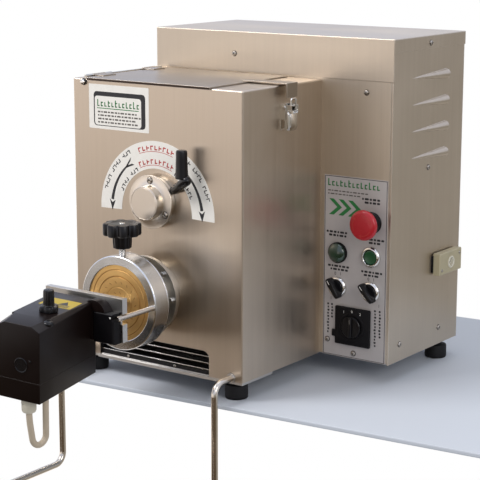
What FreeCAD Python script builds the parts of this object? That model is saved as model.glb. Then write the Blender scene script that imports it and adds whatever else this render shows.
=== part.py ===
import FreeCAD, Part
import math
import os
import re

# Table-top electric pasta maker: kneading tank, extruder with die and clip-on cutter, and rear cabinet.
# Millimetres. Origin on the table between the feet, +X to the operator's right, -Y to the front, +Z up.

# Driving dimensions, one cell each
SIZES = [
    # cases
    ("foot_height", 26), ("foot_radius", 15.5), ("bracket_thick", 3.5), ("bracket_depth", 70),
    ("bracket_width", 46), ("foot_inset", 21), ("foot_front", 16), ("foot_side", 16.5), ("foot_back", 33),
    ("cabinet_width", 394), ("cabinet_depth", 194), ("cabinet_height", 438),
    ("tank_width", 282), ("tank_depth", 182), ("tank_height", 380),
    ("sheet_thick", 1.5), ("cover_thick", 1.2), ("corner_round", 2.2),
    ("apron_drop", 56), ("skirt_drop", 18), ("sheet_gap", 0.3),
    ("screw_radius", 4), ("screw_head", 2.2),
    # kneading tank
    ("mixer_height", 226), ("trough_radius", 86), ("trough_gap_front", 14), ("trough_gap_back", 16),
    ("trough_rim", 10), ("chute_half", 18), ("chute_length", 88), ("chute_start", 28),
    ("shaft_radius", 10), ("shaft_gap", 0.06), ("bush_wall", 4), ("bush_length", 16),
    ("paddle_reach", 76), ("paddle_width", 20), ("paddle_thick", 6), ("hub_radius", 17),
    ("gate_thick", 2), ("gate_gap", 1), ("gate_angle", 44), ("gate_rest", -172),
    # lid and its latch
    ("lid_left", 23), ("lid_right", 232), ("lid_thick", 1.6), ("lid_lip", 3.4), ("lid_lift", 0.4),
    ("hinge_inset", 15), ("hinge_rise", 2.4), ("hinge_radius", 2.2), ("hinge_pin_radius", 1.2),
    ("knuckle_length", 26), ("bolt_radius", 4.6), ("bolt_length", 5), ("bolt_inset", 19.5),
    ("bolt_drop", 4.2),
    ("keeper_width", 24), ("keeper_place", 93), ("keeper_reach", 12), ("keeper_drop", 19),
    ("keeper_start", 222), ("keeper_hole", 2.6),
    ("latch_width", 21), ("latch_low", 322), ("latch_high", 356), ("latch_base", 6), ("latch_plate", 1.6),
    ("latch_stand", 11.5), ("latch_pin_radius", 1.6), ("bail_wire", 1.4), ("bail_rise", 16),
    ("crank_drop", 5),
    # mixer hub and mode lever
    ("flange_radius", 35.8), ("flange_face", 12.1), ("flange_thick", 3.1), ("boss_radius", 22.7),
    ("boss_face", 25.6), ("hub_core", 20), ("hub_screw_circle", 29), ("hub_screws_count", 3),
    ("collar_radius", 33), ("collar_gap", 0.5), ("arm_radius", 3.9), ("arm_angle", 28.3),
    ("arm_bend", 43), ("arm_reach", 75), ("arm_out", 19), ("arm_thick", 6), ("arm_bend_out", 7.2),
    ("elbow_radius", 6.5), ("grip_radius", 7.4), ("grip_root_radius", 8.7), ("grip_length", 37),
    ("grip_side", 7.6), ("grip_rise", 2.3),
    # barrel, ring, die and auger
    ("die_height", 103), ("barrel_radius", 35), ("barrel_bore", 29), ("neck_radius", 38),
    ("barrel_flange_radius", 53), ("barrel_flange_front", 26), ("barrel_flange_thick", 6),
    ("flange_boss_radius", 40), ("barrel_screw_circle", 46), ("barrel_screws_count", 8),
    ("ring_radius", 62.3), ("ring_front", 79.5), ("ring_back", 51), ("ring_lip", 1.5),
    ("die_radius", 52), ("die_show", 50), ("die_thick", 11), ("die_groove", 34.5), ("die_fit", 0.3),
    ("head_thick", 6), ("groove_width", 1.2), ("die_slots", 12), ("die_slot_circle", 25),
    ("auger_radius", 28.3), ("auger_core", 12), ("auger_pitch", 25), ("flight_thick", 4),
    ("knob_radius", 25), ("knob_seat", 71.7), ("knob_neck_length", 16.9), ("knob_head_length", 16.3),
    ("knob_neck", 12.5), ("knob_place", 69.5), ("knob_stud", 4.6), ("knob_lobes", 8),
    ("knob_scallop", 6), ("knob_scallop_out", 2.2),
    # fan outlet under the tank's front
    ("outlet_half", 94), ("outlet_shift", 7), ("outlet_height", 34), ("outlet_corner", 10),
    ("slat_pitch", 8.9),
    ("slat_first", 9), ("slat_thick", 1.2), ("slat_depth", 17), ("grille_inset", 2),
    ("bar_height", 6.5), ("lip_half", 105), ("lip_low", 4.4),
    ("fan_radius", 19), ("fan_length", 140), ("fan_blades", 10), ("fan_place", 62), ("fan_rise", 24),
    # control plate
    ("panel_start", 7), ("panel_end", 6), ("panel_low", 1), ("panel_high", 252), ("panel_thick", 1),
    ("column_share_left", 0.267857), ("column_share_right", 0.736607), ("row_lamps", 172.5),
    ("row_selectors", 124.5),
    ("row_stop", 219.5), ("hole_radius", 11.2), ("bezel_radius", 14.5), ("bezel_bore", 10.2),
    ("bezel_front", 5), ("lamp_radius", 14.4), ("lamp_front", 10),
    ("button_radius", 9.6), ("button_front", 4), ("selector_radius", 9.8), ("selector_front", 5.5),
    ("handle_width", 7), ("handle_height", 11), ("control_back", 34),
    ("stop_collar_radius", 14.8), ("stop_collar_front", 12), ("stop_radius", 20.5), ("stop_front", 27),
    ("stop_thick", 9), ("stop_stem", 7.5),
    ("switch_z", 72.5), ("switch_share", 0.491071), ("switch_height", 53),
    ("switch_front", 4.5), ("dial_radius", 15), ("dial_front", 8.5), ("dial_stem", 5),
    # right side: louvres and cutter socket
    ("louvre_first", 383), ("louvre_pitch", 35.9), ("louvres", 4), ("louvre_front", 49),
    ("louvre_length", 94), ("louvre_mouth", 7), ("louvre_tip", 0.8), ("louvre_wall", 1.2),
    ("socket_back", 47.5), ("socket_z", 145.5), ("socket_width", 63), ("socket_height", 31),
    ("socket_front", 13), ("socket_gasket", 2.5), ("socket_bore", 6), ("socket_rim", 8.5),
    # cutter
    ("rod_offset", 57.3), ("rod_radius", 3.5), ("rod_rise", 2), ("rod_end", 150), ("rod_seat", 9),
    ("plate_back", 132), ("plate_thick", 9), ("plate_left", 69), ("plate_right", 59),
    ("plate_low", 99), ("plate_high", 155), ("notch_up", 4.3), ("notch_down", 9), ("notch_deep", 8),
    ("housing_width", 62.2), ("housing_length", 126), ("housing_height", 97.2),
    ("housing_yaw", 8.61), ("housing_tilt", 3.35), ("housing_roll", 3.6), ("housing_right", 31.4),
    ("housing_front", 264.4), ("housing_low", 83.8), ("housing_wall", 3), ("housing_round", 1),
    ("bevel_width", 12), ("bevel_drop", 6.5), ("bevel_width_back", 2), ("bevel_drop_back", 1.08),
    ("bevel_step", 33), ("bevel_width_step", 4), ("bevel_drop_step", 2.2),
    ("speed_x", 26.3), ("speed_y", 59.3), ("speed_radius", 6.6), ("speed_skirt", 12.4),
    ("speed_height", 27.6), ("speed_skirt_height", 7.5), ("speed_lobes", 6), ("speed_scallop", 4),
    ("cap_x", 5.8), ("cap_y", 27.5), ("cap_radius", 6.6), ("cap_low", 92), ("cap_high", 98),
    ("cap_room", 0.6), ("cap_travel", 1.8), ("plunger_radius", 3),
    ("gland_x", 24.7), ("gland_y", 13.3), ("gland_radius", 9.5), ("gland_drop", 19),
    ("lead_back_x", 16.5), ("lead_back_y", 37.2),
    ("knife_length", 44), ("knife_width", 13), ("knife_thick", 1.5), ("knife_gap", 2.5),
    ("knife_shaft", 4), ("knife_tail", 4.5), ("knife_heel", 6), ("clamp_width", 33), ("clamp_drop", 30.5),
    ("clamp_rise", 9), ("clamp_depth", 15), ("lead_radius", 4),
    ("mount_left", 28), ("mount_right", 22.7), ("mount_low", 28), ("mount_high", 19),
    ("mount_depth", 15), ("shoulder_x", 24), ("shoulder_rise", 3), ("shoulder_radius", 20),
    # drive in the cabinet
    ("motor_inset", 15), ("motor_z", 150), ("motor_radius", 52), ("motor_length", 110),
    ("motor_back", 58), ("motor_pulley_radius", 15), ("auger_pulley_radius", 46),
    ("auger_small_radius", 19), ("mixer_pulley_radius", 62), ("pulley_width", 14),
    ("belt_thick", 4), ("belt_gap", 0.4), ("drive_front", 18), ("drive_step", 18),
    ("box_inset", 47), ("box_width", 120), ("box_depth", 64), ("box_low", 250), ("box_height", 100),
    ("relay_width", 28), ("relay_depth", 22), ("relay_height", 60), ("relay_pitch", 36),
    # back wall and labels
    ("vent_left", 87), ("vent_width", 60), ("vent_height", 4), ("vent_pitch", 80), ("vent_step", 12),
    ("inlet_left", 51), ("inlet_width", 52), ("inlet_low", 54), ("inlet_height", 34),
    ("label_left", 28), ("label_width", 103), ("label_low", 312), ("label_height", 62),
    ("label_thick", 0.3), ("arc_outer", 94.3), ("arc_inner", 59), ("arc_drop", 16),
    # tray hanger
    ("hanger_half", 123), ("hanger_radius", 4.5), ("hanger_rise", 4.5), ("hanger_drop", 150),
    ("hanger_out", 36.5), ("hanger_skew", 20.5), ("hanger_bend", 16), ("hanger_reach", 190),
    ("hanger_grip", 44),
    ("tube_wall", 2), ("tube_play", 0.08),
]

# Places worked out from the driving dimensions
PLACES = [
    ("left_x", "-cabinet_width / 2"),
    ("right_x", "cabinet_width / 2"),
    ("front_y", "-(tank_depth + cabinet_depth) / 2"),
    ("seam_y", "front_y + tank_depth"),
    ("back_y", "seam_y + cabinet_depth"),
    ("floor_z", "foot_height"),
    ("tank_top", "floor_z + tank_height"),
    ("cabinet_top", "floor_z + cabinet_height"),
    ("tank_x", "left_x + tank_width / 2"),
    ("tank_right", "left_x + tank_width"),
    ("mixer_z", "floor_z + mixer_height"),
    ("die_z", "floor_z + die_height"),
    ("trough_front", "front_y + trough_gap_front"),
    ("trough_back", "seam_y - trough_gap_back"),
    ("trough_length", "trough_back - trough_front"),
    ("chute_front", "trough_front + chute_start"),
    ("wall_inner", "cabinet_width / 2 - cover_thick"),
    ("gate_radius", "trough_radius - gate_gap"),
    ("lid_hinge_x", "left_x + hinge_inset"),
    ("lid_hinge_z", "tank_top + hinge_rise"),
    ("lid_under", "tank_top + lid_lift"),
    ("latch_y", "front_y + keeper_place"),
    ("latch_pin_z", "floor_z + latch_high - 4"),
    ("bail_pin_z", "latch_pin_z - crank_drop"),
    ("latch_face_x", "tank_right + latch_stand"),
    ("bail_x", "tank_right + keeper_reach + bail_wire + sheet_gap"),
    ("rod_z", "die_z + rod_rise"),
    ("plate_front_y", "front_y - plate_back - plate_thick"),
    ("drive_y", "seam_y + drive_front"),
    ("second_y", "drive_y + drive_step"),
    ("fan_y", "front_y + fan_place"),
    ("fan_z", "floor_z + fan_rise"),
    ("hanger_z", "floor_z + hanger_rise"),
    ("head_front", "ring_front - ring_lip - die_thick - die_fit"),
    ("auger_start", "front_y - head_front + 6"),
    ("outlet_x", "tank_x - outlet_shift"),
    ("control_width", "right_x - tank_right"),
    ("column_left", "tank_right + control_width * column_share_left"),
    ("column_right", "tank_right + control_width * column_share_right"),
    ("switch_x", "(tank_right + right_x) / 2"),
    ("switch_width", "control_width * switch_share"),
    ("motor_x", "tank_right - motor_inset"),
    ("box_left", "right_x - box_inset - box_width"),
    ("inlet_x", "left_x + inlet_left"),
    ("inlet_z", "floor_z + inlet_low"),
    ("socket_y", "back_y - socket_back"),
    ("knob_low", "die_z + knob_seat"),
    ("knob_neck_top", "knob_low + knob_neck_length"),
    ("knob_top", "knob_neck_top + knob_head_length"),
    ("housing_x", "tank_x + housing_right"),
    ("housing_y", "front_y - housing_front"),
    ("housing_z", "die_z - housing_low"),
]

SIZE_NAMES = [name for name, value in SIZES]
PLACE_NAMES = [name for name, formula in PLACES]

doc = FreeCAD.newDocument("pasta_maker")
vector = FreeCAD.Vector


def bound(text):
    """An expression with each size and place pointed at its sheet."""
    def owner(match):
        word = match.group(0)
        if word in SIZE_NAMES:
            return "sizes." + word
        return "places." + word if word in PLACE_NAMES else word
    return re.sub(r"[a-z][a-z_0-9]*", owner, str(text))


def fill_sheets():
    """The driving dimensions as plain numbers, and the places as formulas on them."""
    sizes = doc.addObject("Spreadsheet::Sheet", "sizes")
    for row, (name, value) in enumerate(SIZES, start=1):
        sizes.set("A%d" % row, name)
        sizes.set("B%d" % row, str(value))
        sizes.setAlias("B%d" % row, name)
    doc.recompute()
    places = doc.addObject("Spreadsheet::Sheet", "places")
    for row, (name, formula) in enumerate(PLACES, start=1):
        places.set("A%d" % row, name)
        places.set("B%d" % row, "=" + bound(formula).replace("places.", ""))
        places.setAlias("B%d" % row, name)
        doc.recompute()
    return sizes, places


sizes, places = fill_sheets()


def number(name):
    """A size or place as a number, for shapes that need points."""
    return float(getattr(sizes if name in SIZE_NAMES else places, name))


# Building helpers

TURNS = {
    "Z": FreeCAD.Rotation(),
    "X": FreeCAD.Rotation(vector(0, 1, 0), 90),
    "Y": FreeCAD.Rotation(vector(1, 0, 0), -90),
    "-Y": FreeCAD.Rotation(vector(1, 0, 0), 90),
}


def put(piece, at, turn=None):
    """Turn a piece, and tie its place to the sheets."""
    piece.Placement = FreeCAD.Placement(vector(), turn or FreeCAD.Rotation())
    for axis, text in zip("xyz", at):
        piece.setExpression("Placement.Base." + axis, bound(text))
    return piece


def make(kind, name, at, turn=None, **bindings):
    piece = doc.addObject(kind, name)
    for key, text in bindings.items():
        piece.setExpression(key, bound(text))
    return put(piece, at, turn)


def box(name, size, at):
    return make("Part::Box", name, at, Length=size[0], Width=size[1], Height=size[2])


def between(name, low, high):
    """A box from its lowest corner to its highest."""
    size = ["(%s) - (%s)" % (top, bottom) for bottom, top in zip(low, high)]
    return box(name, size, low)


def bar(name, radius, length, at, along="Z", angle=360):
    """A round bar; its angle is less than a full turn on a sector."""
    return make("Part::Cylinder", name, at, TURNS[along], Radius=radius, Height=length, Angle=angle)


def taper(name, start, end, length, at, along="Z"):
    return make("Part::Cone", name, at, TURNS[along], Radius1=start, Radius2=end, Height=length)


def ball(name, radius, at):
    return make("Part::Sphere", name, at, Radius=radius)


def fuse(name, *pieces):
    joined = doc.addObject("Part::MultiFuse", name)
    joined.Shapes = list(pieces)
    return joined


def cut(name, base, *tools):
    """The base with every tool taken away."""
    result = doc.addObject("Part::Cut", name)
    result.Base = base
    result.Tool = tools[0] if len(tools) == 1 else fuse(name + "_tools", *tools)
    return result


def group(name, *pieces):
    """Separate solids of one kind under one name."""
    result = doc.addObject("Part::Compound", name)
    result.Links = list(pieces)
    return result


def soften(name, base, radius, wanted):
    """Round the edges of base that wanted picks by their middle point and direction."""
    doc.recompute()
    picked = []
    for index, edge in enumerate(base.Shape.Edges, start=1):
        middle = edge.valueAt((edge.FirstParameter + edge.LastParameter) / 2)
        ends = edge.Vertexes[-1].Point - edge.Vertexes[0].Point
        if wanted(middle, ends):
            picked.append((index, radius, radius))
    result = doc.addObject("Part::Fillet", name)
    result.Base = base
    result.Edges = picked
    return result


def shaped(name, shape):
    """A shape made directly, where no primitive or sketch gives it."""
    result = doc.addObject("Part::Feature", name)
    result.Shape = shape
    return result


def turned_about(text_x, text_z, circle, degrees):
    """The x and z formulas of a point on a circle that faces the front."""
    x = "%s + %s * %.9f" % (text_x, circle, math.cos(math.radians(degrees)))
    z = "%s + %s * %.9f" % (text_z, circle, math.sin(math.radians(degrees)))
    return x, z


def even_angles(count, first=0):
    return [first + 360 * step / int(number(count)) for step in range(int(number(count)))]


NODES = {}


def keep(node, piece):
    """Name a finished sub-part; the name is also its file's."""
    piece.Label = node
    NODES[node] = piece
    return piece


# Tank and cabinet sheet metal

def tank_shell():
    """Folded outer sheet of the tank, open below and at the back, with the mouth under the lid."""
    block = box("tank_block", ("tank_width", "tank_depth", "tank_height"), ("left_x", "front_y", "floor_z"))
    front = number("front_y")
    top = number("tank_top")
    rounded = soften("tank_rounded", block, number("corner_round"), lambda middle, ends:
                     abs(middle.y - front) < 0.01 and abs(middle.z - number("floor_z")) > 0.01
                     or abs(middle.z - top) < 0.01 and abs(middle.y - number("seam_y")) > 0.01)
    inside = between("tank_inside", ("left_x + sheet_thick", "front_y + sheet_thick", "floor_z - 1"),
                     ("tank_right - sheet_thick", "seam_y + 1", "tank_top - sheet_thick"))
    mouth = between("tank_mouth", ("tank_x - trough_radius", "trough_front + sheet_thick", "tank_top - 5"),
                    ("tank_x + trough_radius", "trough_back - sheet_thick", "tank_top + 5"))
    holes = [
        bar("hub_hole", "hub_core + sheet_gap", "sheet_thick * 4",
            ("tank_x", "front_y - sheet_thick * 2", "mixer_z"), "Y"),
        bar("barrel_hole", "barrel_radius + sheet_gap", "sheet_thick * 4",
            ("tank_x", "front_y - sheet_thick * 2", "die_z"), "Y"),
    ]
    for side, sign in (("left", "-"), ("right", "+")):
        holes.append(bar("tube_hole_" + side, "hanger_radius + tube_wall + sheet_gap", "sheet_thick * 4",
                         ("tank_x %s hanger_half" % sign, "front_y - sheet_thick * 2", "hanger_z"), "Y"))
    keep("tank_shell", cut("tank_shell", rounded, inside, mouth, outlet_cut(), *holes))


def outlet_cut():
    """The fan outlet's shape: a low opening with two rounded upper corners."""
    depth = "sheet_thick * 4"
    start = "front_y - sheet_thick * 2"
    low = box("outlet_low", ("outlet_half * 2", depth, "outlet_height - outlet_corner + 1"),
              ("outlet_x - outlet_half", start, "floor_z - 1"))
    high = box("outlet_high", ("(outlet_half - outlet_corner) * 2", depth, "outlet_height + 1"),
               ("outlet_x - outlet_half + outlet_corner", start, "floor_z - 1"))
    corners = [bar("outlet_corner_" + side, "outlet_corner", depth,
                   ("outlet_x %s (outlet_half - outlet_corner)" % sign, start,
                    "floor_z + outlet_height - outlet_corner"), "Y")
               for side, sign in (("left", "-"), ("right", "+"))]
    return fuse("outlet_cut", low, high, *corners)


def trough(name, radius, front, back, top):
    """A U-shaped bar about the mixer axis, up to top."""
    bowl = bar(name + "_bowl", radius, "(%s) - (%s)" % (back, front), ("tank_x", front, "mixer_z"), "Y")
    walls = between(name + "_walls", ("tank_x - (%s)" % radius, front, "mixer_z"),
                    ("tank_x + (%s)" % radius, back, top))
    return fuse(name, bowl, walls)


def tank_liner():
    """Kneading trough with its rim, shaft holes and the chute down to the auger."""
    outer = trough("liner_outer", "trough_radius + sheet_thick", "trough_front", "trough_back",
                   "tank_top - sheet_thick * 2")
    rim = between("liner_rim",
                  ("tank_x - trough_radius - trough_rim", "trough_front - trough_rim + 1",
                   "tank_top - sheet_thick * 2"),
                  ("tank_x + trough_radius + trough_rim", "trough_back + trough_rim",
                   "tank_top - sheet_thick"))
    body = fuse("liner_body", outer, rim)
    inner = trough("liner_inner", "trough_radius", "trough_front + sheet_thick", "trough_back - sheet_thick",
                   "tank_top + 1")
    shaft = bar("liner_shaft_hole", "shaft_radius + bush_wall", "trough_length + 4",
                ("tank_x", "trough_front - 2", "mixer_z"), "Y")
    chute = box("liner_chute", ("chute_half * 2", "chute_length", "trough_radius + 10"),
                ("tank_x - chute_half", "chute_front", "mixer_z - trough_radius - 12"))
    keep("tank_liner", cut("tank_liner", body, inner, shaft, chute))


def floor_pan():
    """Bottom sheet with its bright front lip, foot brackets and the two tubes of the tray hanger."""
    pieces = [
        between("pan_tank", ("left_x + sheet_thick + sheet_gap", "front_y + sheet_thick + sheet_gap",
                             "floor_z"),
                ("tank_right - sheet_thick - sheet_gap", "seam_y + 5", "floor_z + sheet_thick")),
        between("pan_cabinet", ("-wall_inner + sheet_thick + sheet_gap",
                                "seam_y + sheet_thick * 2 + sheet_gap",
                                "floor_z"),
                ("wall_inner - sheet_thick - sheet_gap", "back_y - cover_thick - sheet_thick - sheet_gap",
                 "floor_z + sheet_thick")),
        between("pan_lip", ("tank_x - lip_half", "front_y", "floor_z - lip_low"),
                ("tank_x + lip_half", "front_y + sheet_thick", "floor_z")),
        between("pan_lip_web", ("tank_x - lip_half", "front_y", "floor_z - sheet_thick"),
                ("tank_x + lip_half", "front_y + grille_inset * 4", "floor_z")),
        between("bracket_left", ("left_x + 1", "front_y + 1", "floor_z - bracket_thick"),
                ("left_x + bracket_width", "front_y + bracket_depth", "floor_z")),
        between("bracket_right", ("tank_right - bracket_width", "front_y + 1", "floor_z - bracket_thick"),
                ("tank_right - 1", "front_y + bracket_depth", "floor_z")),
    ]
    ways = []
    tubes = []
    for side, sign in (("left", "-"), ("right", "+")):
        x = "tank_x %s hanger_half" % sign
        ways.append(bar("tube_way_" + side, "hanger_radius + tube_wall", "hanger_grip * 2",
                        (x, "front_y - 2", "hanger_z"), "Y"))
        outer = bar("tube_outer_" + side, "hanger_radius + tube_wall", "hanger_grip + 10",
                    (x, "front_y - 1", "hanger_z"), "Y")
        inner = bar("tube_inner_" + side, "hanger_radius + tube_play", "hanger_grip + 20",
                    (x, "front_y - 3", "hanger_z"), "Y")
        tubes.append(cut("tube_" + side, outer, inner))
    keep("floor_pan", group("floor_pan", cut("floor_sheet", fuse("floor_pan_body", *pieces), *ways), *tubes))


def rubber_feet():
    """Four feet: two under the front brackets and two under the cabinet."""
    feet = []
    for name, x, y, top in (
            ("front_left", "left_x + foot_inset", "front_y + foot_front", "floor_z - bracket_thick"),
            ("front_right", "tank_right - foot_inset", "front_y + foot_front", "floor_z - bracket_thick"),
            ("rear_left", "left_x + foot_side", "back_y - foot_back", "floor_z"),
            ("rear_right", "right_x - foot_side", "back_y - foot_back", "floor_z")):
        foot = taper("foot_" + name, "foot_radius - 1", "foot_radius", top, (x, y, 0))
        feet.append(foot)
    keep("rubber_feet", group("rubber_feet", *feet))


def cabinet_front():
    """Front wall of the cabinet, with the shaft holes and the cut-outs for the controls."""
    wall = between("front_wall", ("-wall_inner", "seam_y", "floor_z + sheet_thick + sheet_gap"),
                   ("wall_inner - 3", "seam_y + sheet_thick", "cabinet_top - cover_thick - sheet_gap"))
    start = "seam_y - 1"
    depth = "sheet_thick + 2"
    holes = [
        bar("mixer_pass", "shaft_radius + bush_wall + sheet_gap", depth, ("tank_x", start, "mixer_z"), "Y"),
        bar("auger_pass", "shaft_radius + bush_wall + sheet_gap", depth, ("tank_x", start, "die_z"), "Y"),
    ]
    for name, x, z in CONTROL_HOLES:
        holes.append(bar(name + "_wall_hole", "hole_radius + sheet_gap", depth, (x, start, z), "Y"))
    holes.append(box("switch_wall_hole", ("switch_width - 12", depth, "switch_height - 12"),
                     ("switch_x - switch_width / 2 + 6", start, "switch_z - switch_height / 2 + 6")))
    keep("cabinet_front", cut("cabinet_front", wall, *holes))


CONTROL_HOLES = [
    ("stop", "column_right", "row_stop"), ("lamp", "column_left", "row_lamps"),
    ("start", "column_right", "row_lamps"), ("selector_left", "column_left", "row_selectors"),
    ("selector_right", "column_right", "row_selectors"),
]


def side_panel_right():
    """Right wall with its front return and four pressed louvres open to the rear."""
    wall = between("right_wall", ("wall_inner - sheet_thick", "seam_y + sheet_thick + sheet_gap", "floor_z"),
                   ("wall_inner", "back_y - cover_thick - sheet_thick - sheet_gap",
                    "cabinet_top - cover_thick - sheet_gap"))
    edge = between("right_return", ("wall_inner - 2.6", "seam_y", "floor_z"),
                   ("wall_inner", "seam_y + sheet_thick + sheet_gap + 1",
                    "cabinet_top - cover_thick - sheet_gap"))
    bulges = []
    hollows = []
    for step in range(int(number("louvres"))):
        at = ("wall_inner - louvre_tip", "seam_y + louvre_front",
              "floor_z + louvre_first - %d * louvre_pitch" % step)
        bulges.append(taper("louvre_%d" % step, "louvre_tip", "louvre_mouth", "louvre_length", at, "Y"))
        hollows.append(taper("louvre_hollow_%d" % step, "0.1", "louvre_mouth - louvre_wall",
                             "louvre_length + 0.5", at, "Y"))
    inner = between("louvre_trim", ("wall_inner - 30", "seam_y - 5", "floor_z - 5"),
                    ("wall_inner - sheet_thick", "back_y", "cabinet_top"))
    body = fuse("right_body", wall, edge, *bulges)
    keep("side_panel_right", cut("side_panel_right", cut("right_open", body, *hollows), inner_trim(inner)))


def inner_trim(inner):
    """The space inside the right wall, without the front return."""
    spare = between("return_spare", ("wall_inner - 3", "seam_y - 6", "floor_z - 6"),
                    ("wall_inner", "seam_y + sheet_thick + sheet_gap + 1", "cabinet_top + 1"))
    return cut("louvre_trim_body", inner, spare)


def cabinet_wrap():
    """Left wall and vented back wall, folded from one sheet."""
    top = "cabinet_top - cover_thick - sheet_gap"
    left = between("wrap_left", ("-wall_inner", "seam_y + sheet_thick + sheet_gap", "floor_z"),
                   ("-wall_inner + sheet_thick", "back_y - cover_thick", top))
    back = between("wrap_back", ("-wall_inner", "back_y - cover_thick - sheet_thick", "floor_z"),
                   ("wall_inner", "back_y - cover_thick", top))
    vents = [box("vent_%d_%d" % (row, column), ("vent_width", "12", "vent_height"),
                 ("left_x + vent_left + %d * vent_pitch" % column, "back_y - 8",
                  "cabinet_top - 90 - %d * vent_step" % row))
             for row in range(6) for column in range(3)]
    inlet = box("inlet_hole", ("inlet_width - 8", "12", "inlet_height - 8"),
                ("inlet_x + 4", "back_y - 8", "inlet_z + 4"))
    keep("cabinet_wrap", cut("cabinet_wrap", fuse("wrap_body", left, back), inlet, *vents))


def top_cover():
    """Cover with a deep front apron and short skirts at the sides and back."""
    block = between("cover_block", ("left_x", "seam_y - cover_thick", "cabinet_top - apron_drop"),
                    ("right_x", "back_y", "cabinet_top"))
    low = number("cabinet_top") - number("apron_drop")
    rounded = soften("cover_rounded", block, number("cover_thick"), lambda middle, ends:
                     abs(middle.z - low) > 0.01)
    inside = between("cover_inside", ("left_x + cover_thick", "seam_y", "0"),
                     ("right_x - cover_thick", "back_y - cover_thick", "cabinet_top - cover_thick"))
    below = between("cover_below", ("left_x - 1", "seam_y", "0"),
                    ("right_x + 1", "back_y + 1", "cabinet_top - skirt_drop"))
    keep("top_cover", cut("top_cover", rounded, inside, below))


def screw_head(name, at, along):
    """A low domed head, standing out of the face it holds."""
    return taper(name + "_head", "screw_radius", "screw_radius * 0.72", "screw_head", at, along)


def case_screws():
    """Heads of the screws that hold the cover, panels and control plate."""
    apron = "seam_y - cover_thick"
    wall = "wall_inner"
    spots = [
        ("apron_left", ("tank_x - 3", apron, "cabinet_top - 31"), "-Y"),
        ("front_panel", ("tank_right + 70", "seam_y", "floor_z + 366.5"), "-Y"),
        ("skirt", ("right_x", "seam_y + 95", "cabinet_top - 10.3"), "X"),
        ("side_middle", (wall, "seam_y + 97.6", "floor_z + 258.5"), "X"),
        ("side_low_front", (wall, "seam_y + 29.5", "floor_z + 23.5"), "X"),
        ("side_low_back", (wall, "seam_y + 138.8", "floor_z + 24.3"), "X"),
        ("plate_left", ("tank_right + 14.5", "seam_y - panel_thick", "floor_z + 22.9"), "-Y"),
        ("plate_low", ("switch_x + 0.5", "seam_y - panel_thick", "floor_z + 8.5"), "-Y"),
        ("back_left", ("left_x + 16", "back_y - cover_thick", "floor_z + 60"), "Y"),
        ("back_right", ("right_x - 16", "back_y - cover_thick", "floor_z + 60"), "Y"),
        ("back_upper_left", ("left_x + 16", "back_y - cover_thick", "cabinet_top - 60"), "Y"),
        ("back_upper_right", ("right_x - 16", "back_y - cover_thick", "cabinet_top - 60"), "Y"),
    ]
    heads = [screw_head(name, at, along) for name, at, along in spots]
    heads.append(bar("hinge_bolt", "bolt_radius", "bolt_length",
                     ("left_x + bolt_inset", "front_y", "tank_top - bolt_drop"), "-Y"))
    keep("case_screws", group("case_screws", *heads))


# Lid, hinge and latch

def lid():
    """Sheet lid with a short front lip and two hinge knuckles on its left edge."""
    plate = between("lid_plate", ("left_x + lid_left", "front_y - lid_lip / 2", "lid_under"),
                    ("left_x + lid_right", "seam_y - 8", "lid_under + lid_thick"))
    lip = between("lid_front_lip", ("left_x + lid_left + 3", "front_y - lid_lip / 2 - 0.6",
                                    "lid_under - lid_lip + 1.8"),
                  ("left_x + lid_right", "front_y - 0.6", "lid_under + lid_thick"))
    pieces = [plate, lip]
    for name, y in (("front", "front_y + 22"), ("rear", "seam_y - 52")):
        pieces.append(bar("lid_knuckle_" + name, "hinge_radius", "knuckle_length",
                          ("lid_hinge_x", y, "lid_hinge_z"), "Y"))
        pieces.append(box("lid_strap_" + name,
                          ("lid_left - hinge_inset + 12", "knuckle_length", "lid_thick"),
                          ("lid_hinge_x", y, "lid_under + lid_thick")))
    pin_way = bar("lid_pin_way", "hinge_pin_radius + shaft_gap", "tank_depth + 20",
                  ("lid_hinge_x", "front_y - 10", "lid_hinge_z"), "Y")
    keep("lid", cut("lid", fuse("lid_body", *pieces), pin_way))


def lid_hinge():
    """Fixed knuckles on the tank's top and the pin through all of them."""
    pieces = []
    for name, y in (("front", "front_y + 22 - knuckle_length / 2 - 0.4"),
                    ("middle", "front_y + 22 + knuckle_length + 0.4"),
                    ("rear", "seam_y - 52 + knuckle_length + 0.4")):
        pieces.append(bar("fixed_knuckle_" + name, "hinge_radius", "knuckle_length / 2",
                          ("lid_hinge_x", y, "lid_hinge_z"), "Y"))
        pieces.append(between("fixed_strap_" + name, ("lid_hinge_x - hinge_radius", y, "tank_top"),
                              ("lid_hinge_x", y + " + knuckle_length / 2", "lid_hinge_z")))
    pin = bar("hinge_pin", "hinge_pin_radius", "tank_depth - 44 + knuckle_length",
              ("lid_hinge_x", "front_y + 22 - knuckle_length / 2 - 2", "lid_hinge_z"), "Y")
    keep("lid_hinge", fuse("lid_hinge", pin, *pieces))


def lid_keeper():
    """Strap from the lid over the tank's edge, bent down beside the latch."""
    low = ("left_x + keeper_start", "latch_y - keeper_width / 2", "lid_under + lid_thick")
    strap = between("keeper_strap", low,
                    ("tank_right + keeper_reach", "latch_y + keeper_width / 2", "lid_under + lid_thick * 2"))
    tab = between("keeper_tab", ("tank_right + keeper_reach - lid_thick", "latch_y - keeper_width / 2",
                                 "lid_under + lid_thick * 2 - keeper_drop"),
                  ("tank_right + keeper_reach", "latch_y + keeper_width / 2", "lid_under + lid_thick * 2"))
    hole = bar("keeper_hole_cut", "keeper_hole", "20", ("tank_right - 11", "latch_y - 5", "lid_under - 5"))
    keep("lid_keeper", cut("lid_keeper", fuse("keeper_body", strap, tab), hole))


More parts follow.
